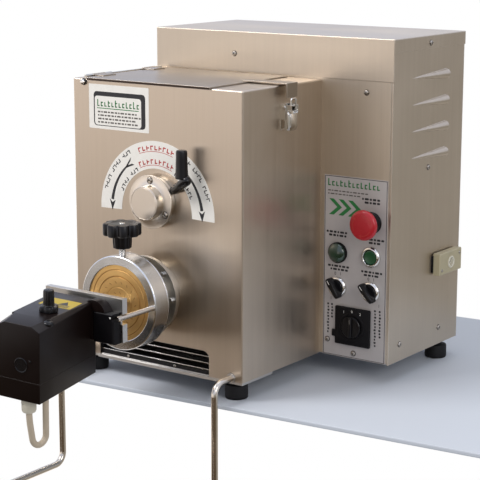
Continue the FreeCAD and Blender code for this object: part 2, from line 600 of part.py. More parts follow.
def latch_base():
    """Channel on the tank's side that carries the latch lever's pin."""
    half = "latch_width / 2"
    back = between("latch_back", ("tank_right", "latch_y - " + half, "floor_z + latch_low"),
                   ("tank_right + latch_plate", "latch_y + " + half, "floor_z + latch_high"))
    pieces = [back]
    for name, y in (("front", "latch_y - %s" % half), ("rear", "latch_y + %s - latch_plate" % half)):
        pieces.append(box("latch_cheek_" + name, ("latch_stand - 2.5", "latch_plate", "20"),
                          ("tank_right", y, "floor_z + latch_high - 20")))
    pieces.append(bar("latch_pin", "latch_pin_radius", "latch_width",
                      ("tank_right + latch_base", "latch_y - " + half, "latch_pin_z"), "Y"))
    keep("latch_base", fuse("latch_base", *pieces))


def latch_lever():
    """Lever that hangs over the base, with the bail's pin just under its own."""
    half = "latch_width / 2 - latch_plate - sheet_gap"
    face = between("lever_face", ("latch_face_x - latch_plate", "latch_y - latch_width / 2",
                                  "floor_z + latch_low"),
                   ("latch_face_x", "latch_y + latch_width / 2", "latch_pin_z - 4"))
    pieces = [face]
    for name, y in (("front", "latch_y - (%s)" % half), ("rear", "latch_y + (%s) - latch_plate" % half)):
        pieces.append(between("lever_web_" + name,
                              ("tank_right + latch_base - latch_pin_radius - 1.2", y, "bail_pin_z - 3"),
                              ("bail_x + bail_wire + 1.2", y + " + latch_plate", "latch_pin_z + 3")))
    pivot = bar("lever_bore", "latch_pin_radius + shaft_gap", "latch_width + 4",
                ("tank_right + latch_base", "latch_y - latch_width / 2 - 2", "latch_pin_z"), "Y")
    bail = bar("lever_bail_bore", "bail_wire + shaft_gap", "latch_width + 4",
               ("bail_x", "latch_y - latch_width / 2 - 2", "bail_pin_z"), "Y")
    keep("latch_lever", cut("latch_lever", fuse("lever_body", *pieces), pivot, bail))


def latch_bail():
    """Bent wire from the lever's lower pin up to the keeper."""
    half = "latch_width / 2 - latch_plate * 2 - sheet_gap * 2 - bail_wire"
    x = "bail_x"
    top = "bail_pin_z + bail_rise"
    pin = "latch_width / 2 - latch_plate / 2"
    pieces = [bar("bail_cross", "bail_wire", "2 * (%s)" % half, (x, "latch_y - (%s)" % half, top), "Y"),
              bar("bail_foot", "bail_wire", "2 * (%s)" % pin, (x, "latch_y - (%s)" % pin, "bail_pin_z"),
                  "Y")]
    for name, sign in (("front", "-"), ("rear", "+")):
        y = "latch_y %s (%s)" % (sign, half)
        pieces.append(bar("bail_leg_" + name, "bail_wire", "bail_rise", (x, y, "bail_pin_z")))
        pieces.append(ball("bail_bend_" + name, "bail_wire", (x, y, top)))
    keep("latch_bail", fuse("latch_bail", *pieces))


# Mixer: hub, shaft, paddles, mode lever and chute gate

def hub_flange():
    """Polished bearing cap of the mixer, with its raised boss."""
    boss = bar("hub_boss", "boss_radius", "boss_face - flange_face + flange_thick",
               ("tank_x", "front_y - flange_face + flange_thick", "mixer_z"), "-Y")
    front = number("front_y") - number("boss_face")
    boss_round = soften("hub_boss_round", boss, 1.6, lambda middle, ends: abs(middle.y - front) < 0.01)
    plate = bar("hub_plate", "flange_radius", "flange_thick",
                ("tank_x", "front_y - flange_face + flange_thick", "mixer_z"), "-Y")
    core = bar("hub_core_bar", "hub_core", "flange_face - flange_thick + 8",
               ("tank_x", "front_y + 8", "mixer_z"), "-Y")
    bore = bar("hub_bore", "shaft_radius + bush_wall", "boss_face - 4 + 8",
               ("tank_x", "front_y + 8 + 1", "mixer_z"), "-Y")
    keep("hub_flange", cut("hub_flange", fuse("hub_body", boss_round, plate, core), bore))


def front_screws():
    """Screws of the mixer hub and the hexagon screws of the barrel flange."""
    heads = []
    for step, angle in enumerate(even_angles("hub_screws_count", 90)):
        x, z = turned_about("tank_x", "mixer_z", "hub_screw_circle", angle)
        heads.append(bar("hub_screw_%d" % step, "4.2", "2.4", (x, "front_y - flange_face", z), "-Y"))
    for step, angle in enumerate(even_angles("barrel_screws_count")):
        x, z = turned_about("tank_x", "die_z", "barrel_screw_circle", angle)
        heads.append(bar("barrel_screw_%d" % step, "3.6", "4.5",
                         (x, "front_y - barrel_flange_front", z), "-Y"))
    keep("front_screws", group("front_screws", *heads))


def bush(name, y, z):
    """A plain bearing on a shaft, as a ring with a running fit."""
    ring = bar(name + "_ring", "shaft_radius + bush_wall", "bush_length", ("tank_x", y, z), "Y")
    bore = bar(name + "_bore", "shaft_radius + shaft_gap", "bush_length + 2", ("tank_x", y + " - 1", z), "Y")
    return cut(name, ring, bore)


def shaft_bushes():
    """Bronze bushes: two on the mixer shaft and one at the auger's rear."""
    keep("shaft_bushes", group("shaft_bushes",
                               bush("mixer_bush_front", "front_y - boss_face + 5", "mixer_z"),
                               bush("mixer_bush_rear", "seam_y - 6", "mixer_z"),
                               bush("auger_bush", "seam_y - 6", "die_z")))


def mixer_shaft():
    """Through shaft of the mixer, from the hub to its pulley."""
    front = "front_y - boss_face + 5.5"
    keep("mixer_shaft", bar("mixer_shaft", "shaft_radius", "second_y + pulley_width - (%s)" % front,
                            ("tank_x", front, "mixer_z"), "Y"))


def mixer_paddles():
    """Kneading arms: a sleeve with three crossed blades turned against each other."""
    sleeve = bar("paddle_sleeve", "hub_radius", "trough_length - sheet_thick * 2 - 30",
                 ("tank_x", "trough_front + sheet_thick + 22", "mixer_z"), "Y")
    pieces = [sleeve]
    span = number("trough_length") - 60
    for step in range(3):
        blade = doc.addObject("Part::Box", "paddle_%d" % step)
        blade.setExpression("Length", bound("paddle_reach * 2"))
        blade.setExpression("Width", bound("paddle_width"))
        blade.setExpression("Height", bound("paddle_thick"))
        turn = FreeCAD.Rotation(vector(0, 1, 0), 60 * step + 15)
        corner = turn.multVec(vector(-number("paddle_reach"), 0, -number("paddle_thick") / 2))
        put(blade, ("tank_x + %.6f" % corner.x, "trough_front + %.6f" % (26 + step * span / 3),
                    "mixer_z + %.6f" % corner.z), turn)
        pieces.append(blade)
    bore = bar("paddle_bore", "shaft_radius", "trough_length", ("tank_x", "trough_front", "mixer_z"), "Y")
    keep("mixer_paddles", cut("mixer_paddles", fuse("paddle_body", *pieces), bore))


def round_run(radius, start, end):
    """A round bar from one point to another."""
    way = end - start
    return Part.makeCylinder(radius, way.Length, start, way)


def mode_lever():
    """Collar behind the hub flange, its thicker cranked arm and the upright grip near the arm's end."""
    x, z, front = number("tank_x"), number("mixer_z"), number("front_y")
    gap = number("collar_gap")
    depth = number("flange_face") - number("flange_thick") - 2 * gap
    turn = math.radians(number("arm_angle"))

    def point(reach, out):
        return vector(x + reach * math.cos(turn), front - out, z + reach * math.sin(turn))

    collar = Part.makeCylinder(number("collar_radius"), depth, vector(x, front - gap, z), vector(0, -1, 0))
    bore = Part.makeCylinder(number("hub_core") + number("shaft_gap"), depth + 2,
                             vector(x, front - gap + 1, z), vector(0, -1, 0))
    middle = gap + depth / 2
    thick = number("arm_thick")
    knee = point(number("arm_bend"), number("arm_bend_out"))
    end = point(number("arm_reach"), number("arm_out"))
    root = round_run(number("arm_radius"), point(number("hub_core") + 6, middle),
                     point(number("arm_bend"), middle))
    arm = root.fuse([Part.makeSphere(thick, knee), round_run(thick, knee, end),
                     Part.makeSphere(number("elbow_radius"), end)])
    foot = end + vector(-number("grip_side"), 0, number("grip_rise"))
    grip = Part.makeCone(number("grip_root_radius"), number("grip_radius"), number("grip_length"), foot)
    tip = [edge for edge in grip.Edges if abs(edge.BoundBox.ZMin - foot.z - number("grip_length")) < 0.01]
    grip = grip.makeFillet(2.5, tip[:1])
    keep("mode_lever", shaped("mode_lever", collar.cut(bore).fuse([arm, grip]).removeSplitter()))


def chute_gate():
    """Curved shutter under the paddles, on a sleeve round the mixer shaft; open at rest."""
    length = "chute_length + 20"
    start = "chute_front - 10"
    turn = FreeCAD.Rotation(vector(0, 1, 0), number("gate_angle") / 2 - number("gate_rest")).multiply(
        TURNS["-Y"])

    def sector(name, radius, depth, back, spread="gate_angle"):
        piece = make("Part::Cylinder", name, ("tank_x", back, "mixer_z"), turn,
                     Radius=radius, Height=depth, Angle=spread)
        return piece

    outer = sector("gate_outer", "gate_radius", length, "%s + %s" % (start, length))
    inner = bar("gate_inner", "gate_radius - gate_thick", "%s + 2" % length,
                ("tank_x", start + " - 1", "mixer_z"), "Y")
    web = sector("gate_web", "gate_radius", "gate_thick", start + " + 1")
    sleeve = bar("gate_sleeve", "shaft_radius + 5", "gate_thick * 4",
                 ("tank_x", start + " - gate_thick * 2.5", "mixer_z"), "Y")
    bore = bar("gate_bore", "shaft_radius + shaft_gap", "40", ("tank_x", start + " - 20", "mixer_z"), "Y")
    keep("chute_gate", cut("chute_gate", fuse("gate_body", cut("gate_plate", outer, inner), web, sleeve),
                           bore))


# Extruder: barrel, auger, ring, die and star knob

def barrel():
    """Extruder barrel with its bolted flange, neck and front head, and the chute's window on top."""
    tube = bar("barrel_tube", "barrel_radius", "seam_y - 10 - front_y + 1",
               ("tank_x", "front_y - 1", "die_z"), "Y")
    boss = bar("barrel_boss", "flange_boss_radius", "barrel_flange_front",
               ("tank_x", "front_y", "die_z"), "-Y")
    flange = bar("barrel_flange", "barrel_flange_radius", "barrel_flange_thick",
                 ("tank_x", "front_y - barrel_flange_front + barrel_flange_thick", "die_z"), "-Y")
    neck = bar("barrel_neck", "neck_radius", "head_front", ("tank_x", "front_y", "die_z"), "-Y")
    head = bar("barrel_head", "die_radius", "head_thick",
               ("tank_x", "front_y - head_front + head_thick", "die_z"), "-Y")
    bore = bar("barrel_bore_cut", "barrel_bore", "head_front + seam_y - 18 - front_y + 1",
               ("tank_x", "front_y - head_front - 1", "die_z"), "Y")
    rear = bar("barrel_rear_hole", "shaft_radius + 1", "40", ("tank_x", "seam_y - 30", "die_z"), "Y")
    window = box("barrel_window", ("chute_half * 2", "chute_length", "40"),
                 ("tank_x - chute_half", "chute_front", "die_z + 10"))
    keep("barrel", cut("barrel", fuse("barrel_body", tube, boss, flange, neck, head), bore, rear, window))


def auger():
    """Screw with a helical flight, and its shaft back to the pulleys."""
    x, z = number("tank_x"), number("die_z")
    core = number("auger_core")
    radius = number("auger_radius")
    thick = number("flight_thick")
    pitch = number("auger_pitch")
    length = number("seam_y") - 30 - number("auger_start")
    helix = Part.makeHelix(pitch, length, core)
    profile = Part.makePolygon([vector(core - 1, 0, -thick / 2), vector(radius, 0, -thick / 3),
                                vector(radius, 0, thick / 3), vector(core - 1, 0, thick / 2),
                                vector(core - 1, 0, -thick / 2)])
    flight = Part.Wire(helix).makePipeShell([profile], True, True)
    flight.Placement = FreeCAD.Placement(vector(x, number("auger_start"), z), TURNS["Y"])
    front = number("auger_start") - thick
    long = number("second_y") + number("pulley_width") - front
    stub = number("seam_y") - 24 - front
    shaft = Part.makeCylinder(number("shaft_radius"), long, vector(x, front, z), vector(0, 1, 0))
    body = Part.makeCylinder(core, stub, vector(x, front, z), vector(0, 1, 0))
    keep("auger", shaped("auger", shaft.fuse([body, flight])))


def die_ring():
    """Ring that holds the die on the barrel's head, drilled for the rods and the star knob's stud."""
    body = bar("ring_body", "ring_radius", "ring_front - ring_back",
               ("tank_x", "front_y - ring_back", "die_z"), "-Y")
    edge = number("front_y") - number("ring_front")
    rounded = soften("ring_rounded", body, 1.2, lambda middle, ends: abs(middle.y - edge) < 0.01)
    cavity = bar("ring_cavity", "die_radius + die_fit", "ring_front - ring_back - ring_lip",
                 ("tank_x", "front_y - ring_back", "die_z"), "-Y")
    opening = bar("ring_opening", "die_show", "20", ("tank_x", "front_y - ring_front + 10", "die_z"), "-Y")
    stud = bar("ring_stud_hole", "knob_stud + shaft_gap", "ring_radius",
               ("tank_x", "front_y - knob_place", "die_z + 10"))
    rods = [bar("ring_rod_hole_" + side, "rod_radius", "rod_seat",
                ("tank_x %s rod_offset" % sign, "front_y - ring_front + rod_seat", "rod_z"), "-Y")
            for side, sign in (("left", "-"), ("right", "+"))]
    keep("die_ring", cut("die_ring", rounded, cavity, opening, stud, *rods))


def die():
    """Bronze die with its insert's groove and a ring of extrusion slots."""
    front = "front_y - ring_front + ring_lip"
    plate = bar("die_plate", "die_radius", "die_thick", ("tank_x", front + " + die_thick", "die_z"), "-Y")
    outer = bar("die_groove_outer", "die_groove + groove_width", "1.5",
                ("tank_x", front + " - 0.5", "die_z"), "Y")
    inner = bar("die_groove_inner", "die_groove", "2", ("tank_x", front + " - 0.7", "die_z"), "Y")
    tools = [cut("die_groove_ring", outer, inner)]
    for step, angle in enumerate(even_angles("die_slots")):
        x, z = turned_about("tank_x", "die_z", "die_slot_circle", angle)
        tools.append(bar("die_slot_%d" % step, "1.6", "die_thick + 2", (x, front + " - 1", z), "Y"))
    tools.append(bar("die_centre", "2.2", "3", ("tank_x", front + " - 1", "die_z"), "Y"))
    keep("die", cut("die", plate, *tools))


def star_knob():
    """Lobed knob whose stud clamps the ring from above."""
    y = "front_y - knob_place"
    head = bar("star_head", "knob_radius", "knob_top - knob_neck_top", ("tank_x", y, "knob_neck_top"))
    circle = "(knob_radius + knob_scallop_out)"
    scallops = [bar("star_scallop_%d" % step, "knob_scallop", "40",
                    ("tank_x + %s * %.9f" % (circle, math.cos(math.radians(angle))),
                     y + " + %s * %.9f" % (circle, math.sin(math.radians(angle))), "knob_neck_top - 5"))
                for step, angle in enumerate(even_angles("knob_lobes", 22.5))]
    neck = bar("star_neck", "knob_neck", "knob_neck_top - knob_low + 1", ("tank_x", y, "knob_low"))
    stud = bar("star_stud", "knob_stud", "knob_low + 1 - (die_z + die_radius + 0.9)",
               ("tank_x", y, "die_z + die_radius + 0.9"))
    keep("star_knob", fuse("star_knob", cut("star_head_cut", head, *scallops), neck, stud))


# Labels, fan and grille

def front_labels():
    """Thin plates of the square label and the half-round lever label on the tank's front."""
    square = box("label_square", ("label_width", "label_thick", "label_height"),
                 ("left_x + label_left", "front_y - label_thick", "floor_z + label_low"))
    outer = bar("label_arc_outer", "arc_outer", "label_thick", ("tank_x", "front_y", "mixer_z - arc_drop"),
                "-Y")
    inner = bar("label_arc_inner", "arc_inner", "4", ("tank_x", "front_y + 1", "mixer_z - arc_drop"), "-Y")
    below = between("label_arc_below", ("tank_x - arc_outer - 6", "front_y - 2", "mixer_z - arc_outer - 40"),
                    ("tank_x + arc_outer + 6", "front_y + 2", "mixer_z - arc_drop - 2.5"))
    keep("front_labels", group("front_labels", square, cut("label_arc", outer, inner, below)))


def fan_grille():
    """Dark frame in the outlet with three slats and a lower bar."""
    back = "front_y + sheet_thick + grille_inset"
    half = "outlet_half - sheet_gap"
    pieces = []
    left = "outlet_x - (%s)" % half
    for name, x in (("left", left), ("right", "outlet_x + (%s) - 2" % half)):
        pieces.append(box("grille_cheek_" + name, ("2", "slat_depth", "outlet_height - sheet_thick - 1"),
                          (x, back, "floor_z + sheet_thick")))
    for step in range(3):
        pieces.append(box("slat_%d" % step, ("2 * (%s)" % half, "slat_depth", "slat_thick"),
                          (left, back, "floor_z + slat_first + %d * slat_pitch - slat_thick" % step)))
    pieces.append(box("grille_bar", ("2 * (%s)" % half, "3", "bar_height - sheet_thick"),
                      (left, back, "floor_z + sheet_thick")))
    keep("fan_grille", fuse("fan_grille", *pieces))


def fan():
    """Cross-flow rotor behind the grille, and the housing with its motor."""
    start = "tank_x - fan_length / 2"
    pieces = [bar("fan_disc_left", "fan_radius", "3", (start, "fan_y", "fan_z"), "X"),
              bar("fan_disc_right", "fan_radius", "3", (start + " + fan_length - 3", "fan_y", "fan_z"), "X"),
              bar("fan_axle", "3", "fan_length + 24", (start + " - 4", "fan_y", "fan_z"), "X")]
    for step, angle in enumerate(even_angles("fan_blades")):
        turn = FreeCAD.Rotation(vector(1, 0, 0), angle)
        blade = doc.addObject("Part::Box", "fan_blade_%d" % step)
        blade.setExpression("Length", bound("fan_length"))
        blade.setExpression("Width", "6")
        blade.setExpression("Height", "1")
        corner = turn.multVec(vector(0, number("fan_radius") - 6.5, 0))
        put(blade, (start, "fan_y + %.6f" % corner.y, "fan_z + %.6f" % corner.z), turn)
        pieces.append(blade)
    keep("fan_rotor", fuse("fan_rotor", *pieces))
    shell = between("fan_case", (start + " - 3", "fan_y - fan_radius - 8", "floor_z + sheet_thick"),
                    (start + " + fan_length + 3", "fan_y + fan_radius + 4", "fan_z + fan_radius + 4"))
    hollow = between("fan_hollow", (start + " - 1.5", "fan_y - fan_radius - 20",
                                    "floor_z + sheet_thick + 1.5"),
                     (start + " + fan_length + 1.5", "fan_y + fan_radius + 2.5", "fan_z + fan_radius + 2.5"))
    motor = bar("fan_motor", "17", "34", (start + " + fan_length + 2.9", "fan_y", "fan_z"), "X")
    axle = bar("fan_axle_way", "3.06", "fan_length + 30", (start + " - 10", "fan_y", "fan_z"), "X")
    keep("fan_housing", cut("fan_housing", fuse("fan_case_body", cut("fan_shell", shell, hollow), motor),
                            axle))


# Controls

def control_plate():
    """Aluminium plate on the cabinet front, a sketched body with its cut-outs."""
    body = doc.addObject("PartDesign::Body", "control_plate_body")
    sketch = body.newObject("Sketcher::SketchObject", "control_outline")
    front = [plane for plane in body.Origin.OriginFeatures if plane.Role == "XZ_Plane"][0]
    sketch.AttachmentSupport = [(front, "")]
    sketch.MapMode = "FlatFace"
    left, right = number("tank_right") + number("panel_start"), number("right_x") - number("panel_end")
    low, high = number("floor_z") + number("panel_low"), number("floor_z") + number("panel_high")
    corners = [vector(left, low, 0), vector(right, low, 0), vector(right, high, 0), vector(left, high, 0)]
    for start, end in zip(corners, corners[1:] + corners[:1]):
        sketch.addGeometry(Part.LineSegment(start, end), False)
    for name, x, z in CONTROL_HOLES:
        sketch.addGeometry(Part.Circle(vector(number(x), number(z), 0), vector(0, 0, 1),
                                       number("hole_radius") + number("sheet_gap")), False)
    pad = body.newObject("PartDesign::Pad", "control_pad")
    pad.Profile = sketch
    pad.setExpression("Length", bound("panel_thick"))
    body.Tip = pad
    put(body, ("0", "seam_y", "0"))
    doc.recompute()
    hole = box("switch_plate_hole", ("switch_width - 12", "12", "switch_height - 12"),
               ("switch_x - switch_width / 2 + 6", "seam_y - 6", "switch_z - switch_height / 2 + 6"))
    keep("control_plate", cut("control_plate", body, hole))


def bezel(name, x, z, radius, bore, front):
    """A bezel in front of the plate, with its threaded body behind it."""
    face = "seam_y - panel_thick"
    ring = bar(name + "_bezel", radius, front, (x, face, z), "-Y")
    edge = number("seam_y") - number("panel_thick") - number(front)
    rounded = soften(name + "_bezel_round", ring, 1.4, lambda middle, ends: abs(middle.y - edge) < 0.01)
    body = bar(name + "_body", "hole_radius", "control_back", (x, face, z), "Y")
    way = bar(name + "_way", bore, "control_back - 6 + " + front, (x, "%s - %s - 1" % (face, front), z), "Y")
    return cut(name + "_mount", fuse(name + "_whole", rounded, body), way)


def control_bezels():
    """Chrome bezels of the button and selectors, and the black collar of the stop button."""
    pieces = [bezel("start", "column_right", "row_lamps", "bezel_radius", "bezel_bore", "bezel_front"),
              bezel("selector_left", "column_left", "row_selectors", "bezel_radius", "bezel_bore",
                    "bezel_front"),
              bezel("selector_right", "column_right", "row_selectors", "bezel_radius", "bezel_bore",
                    "bezel_front")]
    keep("control_bezels", group("control_bezels", *pieces))
    keep("stop_collar", bezel("stop", "column_right", "row_stop", "stop_collar_radius",
                              "stop_stem + shaft_gap",
                              "stop_collar_front"))


def power_lamp():
    """Green dome lamp with its body behind the plate."""
    face = "seam_y - panel_thick"
    rim = bar("lamp_rim", "lamp_radius", "4", ("column_left", face, "row_lamps"), "-Y")
    dome = taper("lamp_dome", "lamp_radius - 0.8", "lamp_radius - 5", "lamp_front - 4",
                 ("column_left", face + " - 4", "row_lamps"), "-Y")
    body = bar("lamp_body", "hole_radius", "control_back", ("column_left", face, "row_lamps"), "Y")
    keep("power_lamp", fuse("power_lamp", rim, dome, body))


def start_button():
    """Green push-button in its bezel, with the travel left free behind it."""
    face = "seam_y - panel_thick"
    cap = bar("start_cap", "button_radius", "button_front + 14",
              ("column_right", face + " + 14", "row_lamps"), "-Y")
    keep("start_button", cap)


def selector(node, x, turn):
    """Selector with a raised handle across its round base."""
    face = "seam_y - panel_thick"
    base = bar(node + "_base", "selector_radius", "selector_front + 14",
               (x, face + " + 14", "row_selectors"), "-Y")
    handle = doc.addObject("Part::Box", node + "_handle")
    handle.setExpression("Length", bound("(bezel_radius + 0.6) * 2"))
    handle.setExpression("Width", bound("handle_height"))
    handle.setExpression("Height", bound("handle_width"))
    rotation = FreeCAD.Rotation(vector(0, 1, 0), turn)
    corner = rotation.multVec(vector(-number("bezel_radius") - 0.6, 0, -number("handle_width") / 2))
    put(handle, ("%s + %.6f" % (x, corner.x),
                 face + " - bezel_front - sheet_gap - handle_height", "row_selectors + %.6f" % corner.z),
                 rotation)
    neck = bar(node + "_neck", "selector_radius", "bezel_front + sheet_gap + 2",
               (x, face, "row_selectors"), "-Y")
    keep(node, fuse(node, base, neck, handle))


def stop_button():
    """Red mushroom button on its stem."""
    face = "seam_y - panel_thick"
    head = bar("stop_head", "stop_radius", "stop_thick",
               ("column_right", face + " - stop_front + stop_thick",
                                                          "row_stop"), "-Y")
    front = number("seam_y") - number("panel_thick") - number("stop_front")
    rounded = soften("stop_head_round", head, 4, lambda middle, ends: abs(middle.y - front) < 0.01)
    stem = bar("stop_stem_bar", "stop_stem", "stop_front - stop_thick + 17",
               ("column_right", face + " - stop_front + stop_thick - 1", "row_stop"), "Y")
    keep("stop_button", fuse("stop_button", rounded, stem))


def main_switch():
    """Square black switch with its housing behind the plate, and its rotary dial."""
    face = "seam_y - panel_thick"
    frame = between("switch_frame", ("switch_x - switch_width / 2", face + " - switch_front",
                                     "switch_z - switch_height / 2"),
                    ("switch_x + switch_width / 2", face, "switch_z + switch_height / 2"))
    body = between("switch_body", ("switch_x - switch_width / 2 + 7", face,
                                   "switch_z - switch_height / 2 + 7"),
                   ("switch_x + switch_width / 2 - 7", "seam_y + 45", "switch_z + switch_height / 2 - 7"))
    tab = between("switch_tab", ("switch_x - switch_width / 2 - 6", face + " - 3", "switch_z - 17"),
                  ("switch_x - switch_width / 2", face, "switch_z - 8"))
    way = bar("switch_way", "dial_stem + shaft_gap", "24",
              ("switch_x", face + " - switch_front - 1", "switch_z"), "Y")
    keep("main_switch", cut("main_switch", fuse("switch_whole", frame, body, tab), way))
    dial = bar("dial_disc", "dial_radius", "dial_front - switch_front - sheet_gap",
               ("switch_x", face + " - switch_front - sheet_gap", "switch_z"), "-Y")
    ridge = between("dial_ridge", ("switch_x - 2.6", face + " - dial_front - 2.5",
                                   "switch_z - dial_radius + 1"),
                    ("switch_x + 2.6", face + " - dial_front + 1", "switch_z + dial_radius - 1"))
    stem = bar("dial_stem_bar", "dial_stem", "20", ("switch_x", face + " - dial_front + 2", "switch_z"), "Y")
    keep("main_dial", fuse("main_dial", dial, ridge, stem))


def side_socket():
    """Cutter outlet on the right wall: dark gasket, box and round rim."""
    half_y = "socket_width / 2"
    half_z = "socket_height / 2"
    gasket = between("socket_gasket_plate",
                     ("wall_inner", "socket_y - %s - 2" % half_y, "socket_z - %s + 4" % half_z),
                     ("wall_inner + socket_gasket", "socket_y + %s - 3" % half_y,
                      "socket_z + %s - 4" % half_z))
    case = between("socket_box", ("wall_inner + socket_gasket", "socket_y - " + half_y,
                                  "socket_z - " + half_z),
                   ("wall_inner + socket_front", "socket_y + " + half_y, "socket_z + " + half_z))
    rim = bar("socket_rim_ring", "socket_rim", "1.5", ("wall_inner + socket_front", "socket_y", "socket_z"),
              "X")
    bore = bar("socket_bore_cut", "socket_bore", "12",
               ("wall_inner + socket_front - 9", "socket_y", "socket_z"), "X")
    keep("side_socket", cut("side_socket", fuse("socket_whole", gasket, case, rim), bore))


def mains_inlet():
    """Appliance inlet low on the back wall."""
    flange = between("inlet_flange", ("inlet_x", "back_y - cover_thick", "inlet_z"),
                     ("inlet_x + inlet_width", "back_y + 2.5", "inlet_z + inlet_height"))
    body = between("inlet_body", ("inlet_x + 5", "back_y - 24", "inlet_z + 5"),
                   ("inlet_x + inlet_width - 5", "back_y", "inlet_z + inlet_height - 5"))
    recess = between("inlet_recess", ("inlet_x + 13", "back_y - 18", "inlet_z + 9"),
                     ("inlet_x + inlet_width - 13", "back_y + 4", "inlet_z + inlet_height - 9"))
    pins = [box("inlet_pin_%d" % step, (2, 15, 4),
                ("inlet_x + 18 + %d * 7" % step, "back_y - 19", "inlet_z + 15"))
            for step in range(3)]
    keep("mains_inlet", fuse("mains_inlet", cut("inlet_shell", fuse("inlet_solid", flange, body), recess),
                             *pins))


# Drive in the cabinet

def pulley(name, radius, x, y, z, bore):
    """Flanged belt pulley on a shaft."""
    rim = bar(name + "_rim", radius, "pulley_width", (x, y, z), "Y")
    back = bar(name + "_back_flange", radius + " + belt_thick", "1.5", (x, y + " + pulley_width - 1.5", z),
               "Y")
    hole = bar(name + "_hole", bore, "pulley_width + 4", (x, y + " - 2", z), "Y")
    return cut(name, fuse(name + "_solid", rim, back), hole)


def drive():
    """Motor, its pulley, the auger's two pulleys and the mixer's pulley."""
    body = bar("motor_body", "motor_radius", "motor_length", ("motor_x", "seam_y + motor_back", "motor_z"),
               "Y")
    nose = bar("motor_nose", "24", "12", ("motor_x", "seam_y + motor_back - 11", "motor_z"), "Y")
    foot = between("motor_foot", ("motor_x - 40", "seam_y + motor_back + 14", "floor_z + sheet_thick"),
                   ("motor_x + 40", "seam_y + motor_back + 96", "motor_z - 38"))
    way = bar("motor_way", "8.06", "44", ("motor_x", "seam_y + motor_back - 20", "motor_z"), "Y")
    keep("motor", cut("motor", fuse("motor_whole", body, nose, foot), way))
    spindle = bar("motor_spindle", "8", "drive_step + motor_back - drive_front + 2",
                  ("motor_x", "drive_y - 2", "motor_z"), "Y")
    keep("motor_pulley", fuse("motor_pulley",
                              pulley("motor_wheel", "motor_pulley_radius", "motor_x", "drive_y",
                                                     "motor_z", "7"), spindle))
    keep("auger_pulley", group("auger_pulley",
                               pulley("auger_wheel", "auger_pulley_radius", "tank_x", "drive_y", "die_z",
                                      "shaft_radius"),
                               pulley("auger_small_wheel", "auger_small_radius", "tank_x", "second_y",
                                      "die_z",
                                      "shaft_radius")))
    keep("mixer_pulley", pulley("mixer_wheel", "mixer_pulley_radius", "tank_x", "second_y", "mixer_z",
                                "shaft_radius"))


def belt(name, first, second, y):
    """A closed belt round two pulleys, each given as x, z and radius, with a small running gap."""
    def loop(extra):
        x1, z1, r1 = first[0], first[1], first[2] + extra
        x2, z2, r2 = second[0], second[1], second[2] + extra
        way = math.atan2(z2 - z1, x2 - x1)
        lean = math.acos((r1 - r2) / math.hypot(x2 - x1, z2 - z1))

        def on(x, z, radius, angle):
            return vector(x + radius * math.cos(angle), y, z + radius * math.sin(angle))

        upper1, upper2 = on(x1, z1, r1, way + lean), on(x2, z2, r2, way + lean)
        lower1, lower2 = on(x1, z1, r1, way - lean), on(x2, z2, r2, way - lean)
        edges = [Part.makeLine(upper1, upper2), Part.Arc(upper2, on(x2, z2, r2, way), lower2).toShape(),
                 Part.makeLine(lower2, lower1),
                 Part.Arc(lower1, on(x1, z1, r1, way + math.pi), upper1).toShape()]
        return Part.Face(Part.Wire(edges))

    gap = number("belt_gap")
    ring = loop(gap + number("belt_thick") - 1).cut(loop(gap))
    return shaped(name, ring.extrude(vector(0, number("pulley_width") - 3, 0)))


def drive_belts():
    """Belt from the motor to the auger, and from the auger to the mixer."""
    auger_at = (number("tank_x"), number("die_z"))
    first = belt("motor_belt", (number("motor_x"), number("motor_z"), number("motor_pulley_radius")),
                 auger_at + (number("auger_pulley_radius"),), number("drive_y") + 0.7)
    mixer_at = (number("tank_x"), number("mixer_z"), number("mixer_pulley_radius"))
    second = belt("mixer_belt", auger_at + (number("auger_small_radius"),), mixer_at,
                  number("second_y") + 0.7)
    keep("drive_belts", group("drive_belts", first, second))


def control_box():
    """Electrical box with contactors, on the back wall above the motor."""
    low = "floor_z + box_low"
    case = box("box_case", ("box_width", "box_depth", "box_height"),
               ("box_left", "back_y - box_depth - 6", low))
    relays = [box("relay_%d" % step, ("relay_width", "relay_depth", "relay_height"),
                  ("box_left + 8 + %d * relay_pitch" % step, "back_y - box_depth - 5 - relay_depth",
                   low + " + 20"))
              for step in range(3)]
    keep("control_box", fuse("control_box", case, *relays))


# Cutter

def housing_turn():
    """The way the motor housing hangs on its plate."""
    return FreeCAD.Rotation(vector(0, 0, 1), number("housing_yaw")).multiply(
        FreeCAD.Rotation(vector(1, 0, 0), number("housing_tilt"))).multiply(
        FreeCAD.Rotation(vector(0, 1, 0), number("housing_roll")))


def on_housing(node, piece):
    """Set a piece drawn in the housing's own frame onto the real housing."""
    put(piece, ("housing_x", "housing_y", "housing_z"), housing_turn())
    keep(node, piece)


def cutter_rods():
    """Two rods from the ring that carry the cutter."""
    rods = [bar("rod_" + side, "rod_radius", "rod_end - ring_front + rod_seat - 0.5",
                ("tank_x %s rod_offset" % sign, "front_y - ring_front + rod_seat - 0.5", "rod_z"), "-Y")
            for side, sign in (("left", "-"), ("right", "+"))]
    keep("cutter_rods", group("cutter_rods", *rods))


